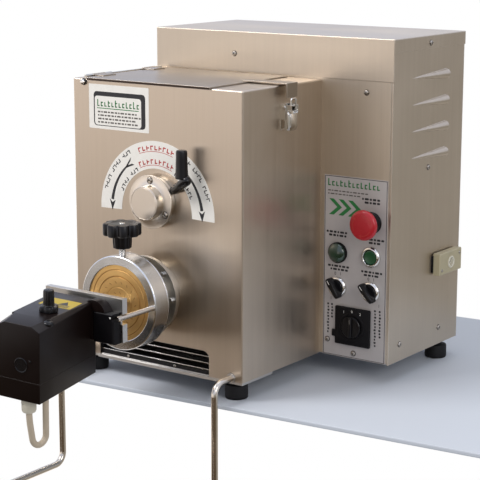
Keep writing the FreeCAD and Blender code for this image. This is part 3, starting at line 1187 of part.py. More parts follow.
def cutter_plate():
    """Thick plate across the rods, notched at the right and drilled at the left, with the knife's boss."""
    slab = between("plate_slab", ("tank_x - plate_left", "plate_front_y", "plate_low"),
                   ("tank_x + plate_right", "front_y - plate_back", "plate_high"))
    notch = between("plate_notch",
                    ("tank_x + plate_right - notch_deep", "plate_front_y - 1", "rod_z - notch_down"),
                    ("tank_x + plate_right + 1", "front_y - plate_back + 1", "rod_z + notch_up"))
    hole = bar("plate_rod_hole", "rod_radius + shaft_gap", "plate_thick + 2",
               ("tank_x - rod_offset", "plate_front_y - 1", "rod_z"), "Y")
    boss = bar("plate_boss", "11", "plate_thick + 12", ("tank_x", "plate_front_y", "die_z"), "Y")
    way = bar("plate_way", "knife_shaft + shaft_gap", "60", ("tank_x", "plate_front_y - 1", "die_z"), "Y")
    keep("cutter_plate", cut("cutter_plate", fuse("plate_body", slab, boss), notch, hole, way))


def edge_room(name, side, start, end):
    """The room beyond a long upper edge of the housing; start and end hold y, width and drop."""
    edge = 0 if side > 0 else -number("housing_width")
    top = number("housing_height")
    ends = []
    for y, width, drop in (start, end):
        corners = [vector(edge - side * (width + width / drop), y, top + 1),
                   vector(edge + side, y, top - drop - drop / width), vector(edge + side, y, top + 1)]
        ends.append(Part.makePolygon(corners + corners[:1]))
    return shaped(name, Part.makeLoft(ends, True, True))


def cutter_housing():
    """Motor housing, hollow: its right upper bevel tapers to the rear, its left one ends in a step."""
    block = box("housing_block", ("housing_width", "housing_length", "housing_height"),
                ("-housing_width", "0", "0"))
    rounded = soften("housing_rounded", block, number("housing_round"), lambda middle, ends:
                     abs(ends.z) > 1 and abs(middle.y) < 0.01)
    width, drop, length = number("bevel_width"), number("bevel_drop"), number("housing_length")
    back_width, back_drop = number("bevel_width_back"), number("bevel_drop_back")
    room_right = edge_room("bevel_room_right", 1, (0, width, drop), (length, back_width, back_drop))
    room_left = edge_room("bevel_room_left", -1, (0, width, drop),
                          (number("bevel_step"), number("bevel_width_step"), number("bevel_drop_step")))
    roof = "housing_height - bevel_drop - 2.5"
    hollow = between("housing_hollow", ("-housing_width + housing_wall", "housing_wall", "housing_wall"),
                     ("-housing_wall", "housing_length - housing_wall", roof))
    gland = bar("housing_gland_hole", "lead_radius + 0.4", "20", ("-gland_x", "gland_y", "-5"))
    speed = bar("housing_speed_hole", "3.06", "30", ("-speed_x", "speed_y", "housing_height - 20"))
    seat = bar("housing_cap_seat", "cap_radius + cap_room", "20",
               ("-cap_x", "cap_y", "cap_low - cap_travel"))
    plunger = bar("housing_plunger_hole", "plunger_radius + shaft_gap", "30",
                  ("-cap_x", "cap_y", "cap_low - 12"))
    lead_hole = bar("housing_lead_hole", "lead_radius + 0.3", "20", ("-lead_back_x", "lead_back_y", "-5"))
    on_housing("cutter_housing", cut("cutter_housing", rounded, room_right, room_left, hollow, gland, speed,
                                     seat, plunger, lead_hole))


def cutter_mount():
    """Block between plate and housing, with a round shoulder over the clamp, trimmed to the housing."""
    block = between("mount_block", ("tank_x - mount_left", "plate_front_y - mount_depth",
                                    "die_z - mount_low"),
                    ("tank_x + mount_right", "plate_front_y", "die_z + mount_high"))
    shoulder = bar("mount_shoulder", "shoulder_radius", "mount_depth",
                   ("tank_x + shoulder_x", "plate_front_y", "die_z + shoulder_rise"), "-Y")
    below = between("mount_clamp_room",
                    ("tank_x + mount_right", "plate_front_y - mount_depth - 1", "die_z - mount_low - 10"),
                    ("tank_x + plate_right", "plate_front_y + 1", "die_z + clamp_rise + sheet_gap"))
    doc.recompute()
    room = doc.addObject("Part::Box", "housing_room")
    room.setExpression("Length", bound("housing_width + 0.2"))
    room.setExpression("Width", bound("housing_length + 0.1"))
    room.setExpression("Height", bound("housing_height + 0.2"))
    turn = housing_turn()
    corner = turn.multVec(vector(-number("housing_width") - 0.1, 0, -0.1))
    put(room, ("housing_x + %.6f" % corner.x, "housing_y + %.6f" % corner.y, "housing_z + %.6f" % corner.z),
        turn)
    way = bar("mount_way", "knife_shaft + shaft_gap", "60", ("tank_x", "plate_front_y - 40", "die_z"), "Y")
    keep("cutter_mount", cut("cutter_mount", fuse("mount_whole", block, shoulder), below, room, way))


def cutter_controls():
    """Speed knob with its lobed skirt, and the round push cap in its seat, on the housing's top."""
    low = "housing_height + 0.3"
    skirt = bar("speed_skirt_ring", "speed_skirt", "speed_skirt_height", ("-speed_x", "speed_y", low))
    scallops = [bar("speed_scallop_%d" % step, "speed_scallop", "40",
                    ("-speed_x + (speed_skirt + 2.4) * %.9f" % math.cos(math.radians(angle)),
                     "speed_y + (speed_skirt + 2.4) * %.9f" % math.sin(math.radians(angle)),
                     "housing_height - 5"))
                for step, angle in enumerate(even_angles("speed_lobes", 30))]
    knob = taper("speed_body", "speed_radius + 0.6", "speed_radius", "speed_height - 0.3",
                 ("-speed_x", "speed_y", low))
    stem = bar("speed_stem", "3", "14", ("-speed_x", "speed_y", "housing_height - 12"))
    on_housing("speed_knob", fuse("speed_knob", cut("speed_lobed", skirt, *scallops), knob, stem))
    cap = bar("cap_body", "cap_radius", "cap_high - cap_low", ("-cap_x", "cap_y", "cap_low"))
    high = number("cap_high")
    domed = soften("cap_domed", cap, 2.4, lambda middle, ends: abs(middle.z - high) < 0.01)
    plunger = bar("cap_plunger", "plunger_radius", "10", ("-cap_x", "cap_y", "cap_low - 9.5"))
    on_housing("push_cap", fuse("push_cap", domed, plunger))


def cutter_knife():
    """Knife that sweeps the die's face, on its shaft through the plate."""
    face = "front_y - ring_front - knife_gap"
    blade = between("knife_blade", ("tank_x - knife_length", face + " - knife_thick",
                                    "die_z - knife_width / 2"),
                    ("tank_x + knife_heel", face, "die_z + knife_width / 2"))
    hub = bar("knife_hub", "7", "10", ("tank_x", face, "die_z"), "-Y")
    shaft = bar("knife_shaft_bar", "knife_shaft", "(%s) - (plate_front_y - knife_tail)" % face,
                ("tank_x", "plate_front_y - knife_tail", "die_z"), "Y")
    keep("cutter_knife", fuse("cutter_knife", blade, hub, shaft))


def clamp_knob():
    """Black clamp over the right rod's end."""
    right = "tank_x + plate_right - 3"
    body = between("clamp_body", (right + " - clamp_width", "plate_front_y - clamp_depth",
                                  "die_z - clamp_drop"),
                   (right, "plate_front_y", "die_z + clamp_rise"))
    edge = number("plate_front_y") - number("clamp_depth")
    rounded = soften("clamp_round", body, 2.5, lambda middle, ends: abs(middle.y - edge) < 0.01)
    way = bar("clamp_way", "rod_radius + shaft_gap", "clamp_depth + 4",
              ("tank_x + rod_offset", "plate_front_y + 2", "rod_z"), "-Y")
    keep("cutter_clamp", cut("cutter_clamp", rounded, way))


def lead_gland():
    """White nylon gland under the housing's front."""
    nut = bar("gland_nut", "gland_radius", "gland_drop", ("-gland_x", "gland_y", "-gland_drop"))
    low = -number("gland_drop")
    rounded = soften("gland_nut_round", nut, 1.5, lambda middle, ends: abs(middle.z - low) < 0.01)
    bore = bar("gland_bore", "lead_radius + 0.1", "30", ("-gland_x", "gland_y", "-gland_drop - 1"))
    on_housing("lead_gland", cut("lead_gland", rounded, bore))


# The lead's route in the housing's frame, chosen by hand: down from the gland and up into the underside
LEAD_ROUTE = [
    (-24.7, 13.3, -3), (-24.7, 13.3, -27), (-23, 18.6, -60.5), (-21.2, 24.8, -67), (-19.4, 33.4, -67),
    (-17.8, 39.6, -60.5), (-16.5, 37.2, -20), (-16.5, 37.2, 2),
]


def lead():
    """White lead of the cutter: straight runs joined by tangent arcs as large as the runs allow."""
    points = [vector(*point) for point in LEAD_ROUTE]
    edges = []
    last = points[0]
    radii = []
    for before, corner, after in zip(points, points[1:], points[2:]):
        back, ahead = before - corner, after - corner
        half_turn = (math.pi - back.getAngle(ahead)) / 2
        trim = 0.49 * min(back.Length, ahead.Length)
        radii.append(trim / math.tan(half_turn))
        back.normalize()
        ahead.normalize()
        start, end = corner + back * trim, corner + ahead * trim
        inward = (back + ahead).normalize()
        middle = corner + inward * (radii[-1] / math.cos(half_turn) - radii[-1])
        edges.append(Part.LineSegment(last, start).toShape())
        edges.append(Part.Arc(start, middle, end).toShape())
        last = end
    edges.append(Part.LineSegment(last, points[-1]).toShape())
    path = Part.Wire(edges)
    circle = Part.Wire(Part.makeCircle(number("lead_radius"), points[0], points[1] - points[0]))
    tube = path.makePipeShell([circle], True, False)
    print("lead radii", ["%.1f" % radius for radius in radii], "length %.1f" % path.Length,
          "volume ratio %.4f" % (tube.Volume / (math.pi * number("lead_radius") ** 2 * path.Length)))
    on_housing("cutter_lead", shaped("cutter_lead", tube))


# Tray hanger

def hanger_wire(sign):
    """One side's route: out of its tube, down, and forward under the tray."""
    x = number("tank_x") + sign * number("hanger_half")
    front, z = number("front_y"), number("hanger_z")
    low = z - number("hanger_drop")
    out = number("hanger_out") + (number("hanger_skew") if sign < 0 else 0)
    reach = number("hanger_out") + number("hanger_reach")
    return [vector(x, front + number("hanger_grip"), z), vector(x, front - out, z),
            vector(x, front - out, low),
            vector(x, front - reach, low), vector(number("tank_x"), front - reach, low)]


def tray_hanger():
    """Bent round rod: two prongs in the tank's tubes, two drops and a forward loop."""
    right = hanger_wire(1)
    left = hanger_wire(-1)
    points = right[:-1] + left[-2::-1]
    bend = number("hanger_bend")
    pieces = []
    last = points[0]
    for before, corner, after in zip(points, points[1:], points[2:]):
        back = (before - corner).normalize()
        ahead = (after - corner).normalize()
        start, end = corner + back * bend, corner + ahead * bend
        middle = corner + (back + ahead) * (bend * (1 - math.sqrt(0.5)))
        pieces.append(Part.LineSegment(last, start).toShape())
        pieces.append(Part.Arc(start, middle, end).toShape())
        last = end
    pieces.append(Part.LineSegment(last, points[-1]).toShape())
    circle = Part.Wire(Part.makeCircle(number("hanger_radius"), points[0], points[1] - points[0]))
    keep("tray_hanger", shaped("tray_hanger", Part.Wire(pieces).makePipeShell([circle], True, False)))


def build():
    tank_shell()
    tank_liner()
    floor_pan()
    rubber_feet()
    cabinet_front()
    side_panel_right()
    cabinet_wrap()
    top_cover()
    case_screws()
    lid()
    lid_hinge()
    lid_keeper()
    latch_base()
    latch_lever()
    latch_bail()
    hub_flange()
    front_screws()
    shaft_bushes()
    mixer_shaft()
    mixer_paddles()
    mode_lever()
    chute_gate()
    barrel()
    auger()
    die_ring()
    die()
    star_knob()
    front_labels()
    fan_grille()
    fan()
    control_plate()
    control_bezels()
    power_lamp()
    start_button()
    selector("selector_left", "column_left", 55)
    selector("selector_right", "column_right", 48)
    stop_button()
    main_switch()
    side_socket()
    mains_inlet()
    drive()
    drive_belts()
    control_box()
    cutter_rods()
    cutter_plate()
    cutter_housing()
    cutter_mount()
    cutter_controls()
    cutter_knife()
    clamp_knob()
    lead_gland()
    lead()
    tray_hanger()


def check():
    """Stop if any object failed or any sub-part is null or invalid."""
    doc.recompute()
    for piece in doc.Objects:
        if "Invalid" in piece.State or "Error" in piece.State:
            raise ValueError("failed object: " + piece.Name)
    for node, piece in NODES.items():
        if piece.Shape.isNull() or not piece.Shape.isValid() or not piece.Shape.Solids:
            raise ValueError("bad shape: " + node)


def write():
    os.makedirs("parts", exist_ok=True)
    for node, piece in NODES.items():
        piece.Shape.exportStep("parts/%s.step" % node)
        print(node, len(piece.Shape.Solids), "solids", "%.0f mm3" % piece.Shape.Volume)


build()
check()
write()
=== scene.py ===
import math

import bmesh
import bpy
from bpy.props import FloatProperty, FloatVectorProperty, IntProperty, PointerProperty
from mathutils import Matrix, Vector


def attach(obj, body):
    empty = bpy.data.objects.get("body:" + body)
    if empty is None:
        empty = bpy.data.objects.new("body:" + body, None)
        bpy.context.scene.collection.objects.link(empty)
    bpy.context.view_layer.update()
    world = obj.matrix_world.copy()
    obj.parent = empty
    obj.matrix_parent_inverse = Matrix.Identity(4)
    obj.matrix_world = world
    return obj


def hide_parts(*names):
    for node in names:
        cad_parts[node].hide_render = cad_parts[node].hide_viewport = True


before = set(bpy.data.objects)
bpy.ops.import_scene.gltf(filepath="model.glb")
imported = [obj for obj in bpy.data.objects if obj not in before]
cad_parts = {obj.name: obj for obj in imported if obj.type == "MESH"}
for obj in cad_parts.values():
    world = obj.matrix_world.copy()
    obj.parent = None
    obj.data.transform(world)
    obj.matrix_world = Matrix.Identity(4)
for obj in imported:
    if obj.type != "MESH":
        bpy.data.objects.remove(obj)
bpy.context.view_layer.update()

bl_info = {
    "name": "Table-top pasta maker", "version": (1, 0, 0), "blender": (4, 5, 0),
    "location": "3D View > Sidebar > Pasta maker",
    "description": "Dresses the pasta maker's fixed frame with its finishes, fittings and printing",
    "category": "Object",
}

# Places on the machine in millimetres: the same as the solids, read from the frame where a node gives them
LEFT, RIGHT = -197.0, 197.0
FRONT, SEAM, BACK = -188.0, -6.0, 188.0
TANK_X, TANK_RIGHT, TANK_TOP, COVER_TOP = -56.0, 85.0, 406.0, 464.0
OUTLET_X = TANK_X - 7.0
MIXER_Z, DIE_Z = 252.0, 129.0
PLATE_Y = SEAM - 1.0
LATCH_Y = FRONT + 93.0
COVER_THICK = 1.2
FILM_THICK, INK_THICK = 0.28, 0.05
HOUSING_SIZE = (62.2, 126.0, 97.2)
HOUSING_STEP = 33.0


# Property groups: what a user would change

class PASTA_PG_finish(bpy.types.PropertyGroup):
    """Colours and gloss of the machine's finishes"""

    steel: FloatVectorProperty(name="Brushed steel", description="Tone of the tank's brushed sheet",
                               subtype="COLOR", size=3, min=0, max=1, default=(0.61, 0.52, 0.42))
    cabinet: FloatVectorProperty(name="Cabinet steel", description="Tone of the cabinet's brushed sheet",
                                 subtype="COLOR", size=3, min=0, max=1, default=(0.60, 0.52, 0.42))
    bright: FloatVectorProperty(name="Bright steel", description="Tone of polished and turned steel",
                                subtype="COLOR", size=3, min=0, max=1, default=(0.78, 0.76, 0.72))
    bronze: FloatVectorProperty(name="Die bronze", description="Tone of the die and its insert",
                                subtype="COLOR", size=3, min=0, max=1, default=(0.74, 0.47, 0.18))
    black: FloatVectorProperty(name="Black plastic", description="Tone of knobs, handles and switches",
                               subtype="COLOR", size=3, min=0, max=1, default=(0.0045, 0.004, 0.005))
    housing: FloatVectorProperty(name="Cutter housing", description="Tone of the cutter's painted housing",
                                 subtype="COLOR", size=3, min=0, max=1, default=(0.008, 0.0045, 0.004))
    stop: FloatVectorProperty(name="Stop red", description="Tone of the emergency stop's head",
                              subtype="COLOR", size=3, min=0, max=1, default=(0.50, 0.007, 0.018))
    lamp: FloatVectorProperty(name="Lamp green", description="Tone of the lamp's lens",
                              subtype="COLOR", size=3, min=0, max=1, default=(0.006, 0.028, 0.014))
    print_green: FloatVectorProperty(name="Printed green", description="Tone of the green printing",
                                     subtype="COLOR", size=3, min=0, max=1, default=(0.02, 0.20, 0.05))
    outlet: FloatVectorProperty(name="Outlet beige", description="Tone of the cutter outlet's box",
                                subtype="COLOR", size=3, min=0, max=1, default=(0.47, 0.42, 0.28))
    sheet_gloss: FloatProperty(name="Sheet roughness", description="Middle roughness of the brushed sheet",
                               subtype="FACTOR", min=0.05, max=1, default=0.31)


class PASTA_PG_trim(bpy.types.PropertyGroup):
    """Fineness of the turned fittings and the camera's lens"""

    turn_steps: IntProperty(name="Turning steps", description="Flats round each turned piece",
                            min=24, max=192, default=72)
    camera_lens: FloatProperty(name="Lens", description="Focal length of the camera",
                               subtype="DISTANCE_CAMERA", min=20, max=300, default=117.3)


def finish_of():
    return bpy.context.scene.pasta_finish


def trim_of():
    return bpy.context.scene.pasta_trim


# Places and directions

FACES = {
    "front": Matrix(((1, 0, 0), (0, 0, -1), (0, 1, 0))).to_4x4(),
    "right": Matrix(((0, 0, 1), (1, 0, 0), (0, 1, 0))).to_4x4(),
    "back": Matrix(((-1, 0, 0), (0, 0, 1), (0, 1, 0))).to_4x4(), "up": Matrix.Identity(4),
    "down": Matrix(((1, 0, 0), (0, -1, 0), (0, 0, -1))).to_4x4(),
}


def on(face, x, y, z, turn=0.0):
    """A frame at a point in millimetres, whose z axis leaves that face; turn is in degrees about it."""
    return Matrix.Translation((x, y, z)) @ FACES[face] @ Matrix.Rotation(math.radians(turn), 4, "Z")


HOUSING = (Matrix.Translation((TANK_X + 31.4, FRONT - 264.4, DIE_Z - 83.8))
           @ Matrix.Rotation(math.radians(8.61), 4, "Z") @ Matrix.Rotation(math.radians(3.35), 4, "X")
           @ Matrix.Rotation(math.radians(3.6), 4, "Y"))


# Shapes

class Form:
    """A piece built up from shapes in millimetres, each in the material that is current."""

    def __init__(self, name, place=None):
        self.name = name
        self.mesh = bmesh.new()
        self.materials = []
        self.current = 0
        self.place = place or Matrix.Identity(4)

    def of(self, material):
        if material not in self.materials:
            self.materials.append(material)
        self.current = self.materials.index(material)
        return self

    def add(self, shape, at=None):
        """Take in a small mesh and free it."""
        bmesh.ops.recalc_face_normals(shape, faces=shape.faces)
        for face in shape.faces:
            face.material_index = self.current
            face.smooth = True
        scratch = bpy.data.meshes.new("scratch")
        shape.to_mesh(scratch)
        shape.free()
        scratch.transform(self.place @ (at or Matrix.Identity(4)))
        if (self.place @ (at or Matrix.Identity(4))).determinant() < 0:
            scratch.flip_normals()
        self.mesh.from_mesh(scratch)
        bpy.data.meshes.remove(scratch)
        return self

    def box(self, low, high, edge=0.6, steps=2, at=None):
        return self.add(box_shape(low, high, edge, steps), at)

    def turned(self, profile, at, steps=None, scallop=None):
        return self.add(turned_shape(profile, steps or trim_of().turn_steps, scallop), at)

    def rod(self, points, radius, sides=20, closed=False, at=None):
        return self.add(rod_shape(points, radius, sides, closed), at)

    def plate(self, outline, thick, at, edge=0.0):
        return self.add(plate_shape(outline, thick, edge), at)

    def words(self, text, size, at, thick=0.12):
        return self.add(word_shape(text, size, thick), at)

    def done(self, body, *nodes, angle=32, finish=None):
        """Make the object, let it ride on its body and stand for its nodes."""
        data = bpy.data.meshes.new(self.name)
        self.mesh.transform(Matrix.Scale(0.001, 4))
        self.mesh.to_mesh(data)
        self.mesh.free()
        data.set_sharp_from_angle(angle=math.radians(angle))
        for material in self.materials:
            data.materials.append(material)
        piece = bpy.data.objects.new(self.name, data)
        bpy.context.scene.collection.objects.link(piece)
        if nodes:
            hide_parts(*nodes)
        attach(piece, body)
        return piece


def box_shape(low, high, edge, steps):
    shape = bmesh.new()
    bmesh.ops.create_cube(shape, size=1)
    size = [high[i] - low[i] for i in range(3)]
    middle = [(high[i] + low[i]) / 2 for i in range(3)]
    bmesh.ops.scale(shape, vec=size, verts=shape.verts)
    bmesh.ops.translate(shape, vec=middle, verts=shape.verts)
    edge = min(edge, min(size) * 0.45)
    if edge > 0:
        bmesh.ops.bevel(shape, geom=shape.edges[:], offset=edge, segments=steps, profile=0.5,
                        affect="EDGES")
    return shape


def turned_shape(profile, steps, scallop=None):
    """Turn (radius, height) points about z. scallop turns an angle and a radius into the radius there."""
    shape = bmesh.new()
    rings = []
    for radius, height in profile:
        if radius < 1e-6:
            rings.append([shape.verts.new((0, 0, height))])
            continue
        ring = []
        for step in range(steps):
            angle = 2 * math.pi * step / steps
            reach = scallop(angle, radius) if scallop else radius
            ring.append(shape.verts.new((reach * math.cos(angle), reach * math.sin(angle), height)))
        rings.append(ring)
    for low, high in zip(rings, rings[1:]):
        for step in range(steps):
            after = (step + 1) % steps
            if len(low) == 1 and len(high) == 1:
                continue
            if len(low) == 1:
                shape.faces.new((low[0], high[after], high[step]))
            elif len(high) == 1:
                shape.faces.new((low[step], low[after], high[0]))
            else:
                shape.faces.new((low[step], low[after], high[after], high[step]))
    return shape


def rod_shape(points, radius, sides, closed):
    """A round bar along points; radius is one number, or one for each point."""
    shape = bmesh.new()
    points = [Vector(point) for point in points]
    count = len(points)
    radii = radius if isinstance(radius, (list, tuple)) else [radius] * count
    rings = []
    side = None
    for index, point in enumerate(points):
        before = points[index - 1] if index or closed else point
        after = points[(index + 1) % count] if index < count - 1 or closed else point
        ahead = (after - before).normalized()
        if side is None:
            side = ahead.orthogonal().normalized()
        side = (side - ahead * side.dot(ahead)).normalized()
        other = ahead.cross(side)
        rings.append([shape.verts.new(point + (side * math.cos(a) + other * math.sin(a)) * radii[index])
                      for a in (2 * math.pi * k / sides for k in range(sides))])
    pairs = list(zip(rings, rings[1:])) + ([(rings[-1], rings[0])] if closed else [])
    for low, high in pairs:
        for k in range(sides):
            shape.faces.new((low[k], low[(k + 1) % sides], high[(k + 1) % sides], high[k]))
    if not closed:
        shape.faces.new(rings[0])
        shape.faces.new(rings[-1])
    return shape


def plate_shape(outline, thick, edge):
    """A flat plate from a closed outline in x and y, from z = 0 up, with its upper edge broken."""
    shape = bmesh.new()
    low = [shape.verts.new((x, y, 0)) for x, y in outline]
    high = [shape.verts.new((x, y, thick)) for x, y in outline]
    shape.faces.new(low)
    top = shape.faces.new(high)
    for k in range(len(outline)):
        after = (k + 1) % len(outline)
        shape.faces.new((low[k], low[after], high[after], high[k]))
    if edge:
        bmesh.ops.bevel(shape, geom=top.edges[:], offset=edge, segments=2, profile=0.5, affect="EDGES")
    return shape


def word_shape(text, size, thick):
    """Letters or digits, centred on the frame's origin."""
    curve = bpy.data.curves.new("letters", "FONT")
    curve.body = text
    curve.size = size
    curve.align_x = "CENTER"
    curve.align_y = "CENTER"
    curve.extrude = thick / 2
    curve.resolution_u = 3
    holder = bpy.data.objects.new("letters", curve)
    data = bpy.data.meshes.new_from_object(holder)
    shape = bmesh.new()
    shape.from_mesh(data)
    bpy.data.objects.remove(holder)
    bpy.data.meshes.remove(data)
    bpy.data.curves.remove(curve)
    return shape


def rounded(width, height, radius, steps=5):
    """A rounded rectangle's outline about the origin."""
    points = []
    for x, y, start in ((1, 1, 0), (-1, 1, 90), (-1, -1, 180), (1, -1, 270)):
        for step in range(steps + 1):
            angle = math.radians(start + 90 * step / steps)
            points.append((x * (width / 2 - radius) + radius * math.cos(angle),
                           y * (height / 2 - radius) + radius * math.sin(angle)))
    return points


def band(inner, outer, start, end, steps=48):
    """The outline of part of a flat ring, from start to end in degrees."""
    angles = [math.radians(start + (end - start) * step / steps) for step in range(steps + 1)]
    return ([(outer * math.cos(a), outer * math.sin(a)) for a in angles]
            + [(inner * math.cos(a), inner * math.sin(a)) for a in reversed(angles)])


def bent(points, radius, steps=6):
    """A bar's line with an arc at each corner."""
    points = [Vector(point) for point in points]
    line = [points[0]]
    for before, corner, after in zip(points, points[1:], points[2:]):
        back, ahead = (before - corner).normalized(), (after - corner).normalized()
        start, end = corner + back * radius, corner + ahead * radius
        for step in range(steps + 1):
            t = step / steps
            line.append(start * (1 - t) ** 2 + corner * 2 * t * (1 - t) + end * t ** 2)
    return line + [points[-1]]


# Shader node groups

def new_group(name, inputs, outputs):
    group = bpy.data.node_groups.new(name, "ShaderNodeTree")
    for label, kind, value in inputs:
        socket = group.interface.new_socket(label, in_out="INPUT", socket_type=kind)
        if value is not None:
            socket.default_value = value
    for label, kind in outputs:
        group.interface.new_socket(label, in_out="OUTPUT", socket_type=kind)
    return group, group.nodes.new("NodeGroupInput"), group.nodes.new("NodeGroupOutput")


def math_node(nodes, kind, first=None, second=None):
    node = nodes.new("ShaderNodeMath")
    node.operation = kind
    if first is not None:
        node.inputs[0].default_value = first
    if second is not None:
        node.inputs[1].default_value = second
    return node


def brush_lines_group():
    """Long fine scratches along one direction of the sheet."""
    group, source, sink = new_group(
        "Brush lines",
        [("Stretch", "NodeSocketVector", (900, 900, 12)), ("Contrast", "NodeSocketFloat", 1.0)],
        [("Streak", "NodeSocketFloat"), ("Height", "NodeSocketFloat")])
    nodes, links = group.nodes, group.links
    where = nodes.new("ShaderNodeTexCoord")
    scaled = nodes.new("ShaderNodeVectorMath")
    scaled.operation = "MULTIPLY"
    links.new(where.outputs["Object"], scaled.inputs[0])
    links.new(source.outputs["Stretch"], scaled.inputs[1])
    fine = nodes.new("ShaderNodeTexNoise")
    fine.inputs["Scale"].default_value = 1.0
    fine.inputs["Detail"].default_value = 3.0
    links.new(scaled.outputs["Vector"], fine.inputs["Vector"])
    wide = nodes.new("ShaderNodeVectorMath")
    wide.operation = "MULTIPLY"
    wide.inputs[1].default_value = (0.13, 0.13, 0.3)
    links.new(scaled.outputs["Vector"], wide.inputs[0])
    broad = nodes.new("ShaderNodeTexNoise")
    broad.inputs["Scale"].default_value = 1.0
    broad.inputs["Detail"].default_value = 1.0
    links.new(wide.outputs["Vector"], broad.inputs["Vector"])
    both = math_node(nodes, "ADD")
    links.new(fine.outputs["Fac"], both.inputs[0])
    links.new(broad.outputs["Fac"], both.inputs[1])
    centred = math_node(nodes, "SUBTRACT", second=1.0)
    links.new(both.outputs[0], centred.inputs[0])
    strong = math_node(nodes, "MULTIPLY")
    links.new(centred.outputs[0], strong.inputs[0])
    links.new(source.outputs["Contrast"], strong.inputs[1])
    streak = math_node(nodes, "ADD", second=0.5)
    streak.use_clamp = True
    links.new(strong.outputs[0], streak.inputs[0])
    links.new(streak.outputs[0], sink.inputs["Streak"])
    links.new(fine.outputs["Fac"], sink.inputs["Height"])
    return group


def smudge_group():
    """Soft clouds of handling and wiping, from 0 to 1."""
    group, source, sink = new_group(
        "Hand smudges", [("Scale", "NodeSocketFloat", 9.0), ("Softness", "NodeSocketFloat", 0.5)],
        [("Cloud", "NodeSocketFloat"), ("Spots", "NodeSocketFloat")])
    nodes, links = group.nodes, group.links
    where = nodes.new("ShaderNodeTexCoord")
    cloud = nodes.new("ShaderNodeTexNoise")
    cloud.inputs["Detail"].default_value = 4.0
    cloud.inputs["Distortion"].default_value = 0.6
    links.new(where.outputs["Object"], cloud.inputs["Vector"])
    links.new(source.outputs["Scale"], cloud.inputs["Scale"])
    links.new(source.outputs["Softness"], cloud.inputs["Roughness"])
    links.new(cloud.outputs["Fac"], sink.inputs["Cloud"])
    finer = math_node(nodes, "MULTIPLY", second=14.0)
    links.new(source.outputs["Scale"], finer.inputs[0])
    spots = nodes.new("ShaderNodeTexVoronoi")
    spots.feature = "SMOOTH_F1"
    links.new(where.outputs["Object"], spots.inputs["Vector"])
    links.new(finer.outputs[0], spots.inputs["Scale"])
    links.new(spots.outputs["Distance"], sink.inputs["Spots"])
    return group


def edge_group():
    """Where the surface turns a corner: 1 on the edge, 0 on the flat, broken up a little. The materials
    lighten their edges by it, partly as wear and partly as painted highlight.
    """
    group, source, sink = new_group(
        "Edge wear and highlight", [("Width", "NodeSocketFloat", 0.0008), ("Amount", "NodeSocketFloat", 1.0)],
        [("Mask", "NodeSocketFloat")])
    nodes, links = group.nodes, group.links
    soft = nodes.new("ShaderNodeBevel")
    soft.samples = 4
    links.new(source.outputs["Width"], soft.inputs["Radius"])
    flat = nodes.new("ShaderNodeNewGeometry")
    same = nodes.new("ShaderNodeVectorMath")
    same.operation = "DOT_PRODUCT"
    links.new(soft.outputs["Normal"], same.inputs[0])
    links.new(flat.outputs["Normal"], same.inputs[1])
    spread = nodes.new("ShaderNodeMapRange")
    spread.inputs["From Min"].default_value = 0.995
    spread.inputs["From Max"].default_value = 0.80
    links.new(same.outputs["Value"], spread.inputs["Value"])
    where = nodes.new("ShaderNodeTexCoord")
    patch = nodes.new("ShaderNodeTexNoise")
    patch.inputs["Scale"].default_value = 70.0
    patch.inputs["Detail"].default_value = 3.0
    links.new(where.outputs["Object"], patch.inputs["Vector"])
    broken = math_node(nodes, "MULTIPLY")
    links.new(spread.outputs["Result"], broken.inputs[0])
    links.new(patch.outputs["Fac"], broken.inputs[1])
    amount = math_node(nodes, "MULTIPLY")
    amount.use_clamp = True
    links.new(broken.outputs[0], amount.inputs[0])
    links.new(source.outputs["Amount"], amount.inputs[1])
    links.new(amount.outputs[0], sink.inputs["Mask"])
    return group


def pebble_group():
    """The fine pebbled skin of moulded plastic, rubber and cast metal."""
    group, source, sink = new_group(
        "Moulded skin", [("Scale", "NodeSocketFloat", 1500.0)], [("Height", "NodeSocketFloat")])
    nodes, links = group.nodes, group.links
    where = nodes.new("ShaderNodeTexCoord")
    grain = nodes.new("ShaderNodeTexNoise")
    grain.inputs["Detail"].default_value = 2.0
    links.new(where.outputs["Object"], grain.inputs["Vector"])
    links.new(source.outputs["Scale"], grain.inputs["Scale"])
    links.new(grain.outputs["Fac"], sink.inputs["Height"])
    return group


GROUPS = {}


def effect(nodes, name, **values):
    """A shared effect placed in a material with its own values."""
    makers = {"Brush lines": brush_lines_group, "Hand smudges": smudge_group, "Edge wear and highlight": edge_group,
              "Moulded skin": pebble_group}
    if name not in GROUPS:
        GROUPS[name] = makers[name]()
    node = nodes.new("ShaderNodeGroup")
    node.node_tree = GROUPS[name]
    for label, value in values.items():
        node.inputs[label].default_value = value
    return node


# Materials

def shaded(color, factor):
    return tuple(min(1.0, channel * factor) for channel in color[:3]) + (1.0,)


def blank(name, **constants):
    """A material with one Principled shader, whose unchanging values sit on its own sockets."""
    material = bpy.data.materials.new(name)
    material.use_nodes = True
    nodes = material.node_tree.nodes
    shader = nodes["Principled BSDF"]
    for label, value in constants.items():
        shader.inputs[label.replace("_", " ")].default_value = value
    return material, nodes, material.node_tree.links, shader


def tone(nodes, links, fac, dark, light):
    """A colour between two tones."""
    mix = nodes.new("ShaderNodeMix")
    mix.data_type = "RGBA"
    mix.inputs[6].default_value = dark
    mix.inputs[7].default_value = light
    links.new(fac, mix.inputs[0])
    return mix.outputs[2]


def between(nodes, links, fac, low, high):
    """A number between two values."""
    spread = nodes.new("ShaderNodeMapRange")
    spread.inputs["To Min"].default_value = low
    spread.inputs["To Max"].default_value = high
    links.new(fac, spread.inputs["Value"])
    return spread.outputs["Result"]


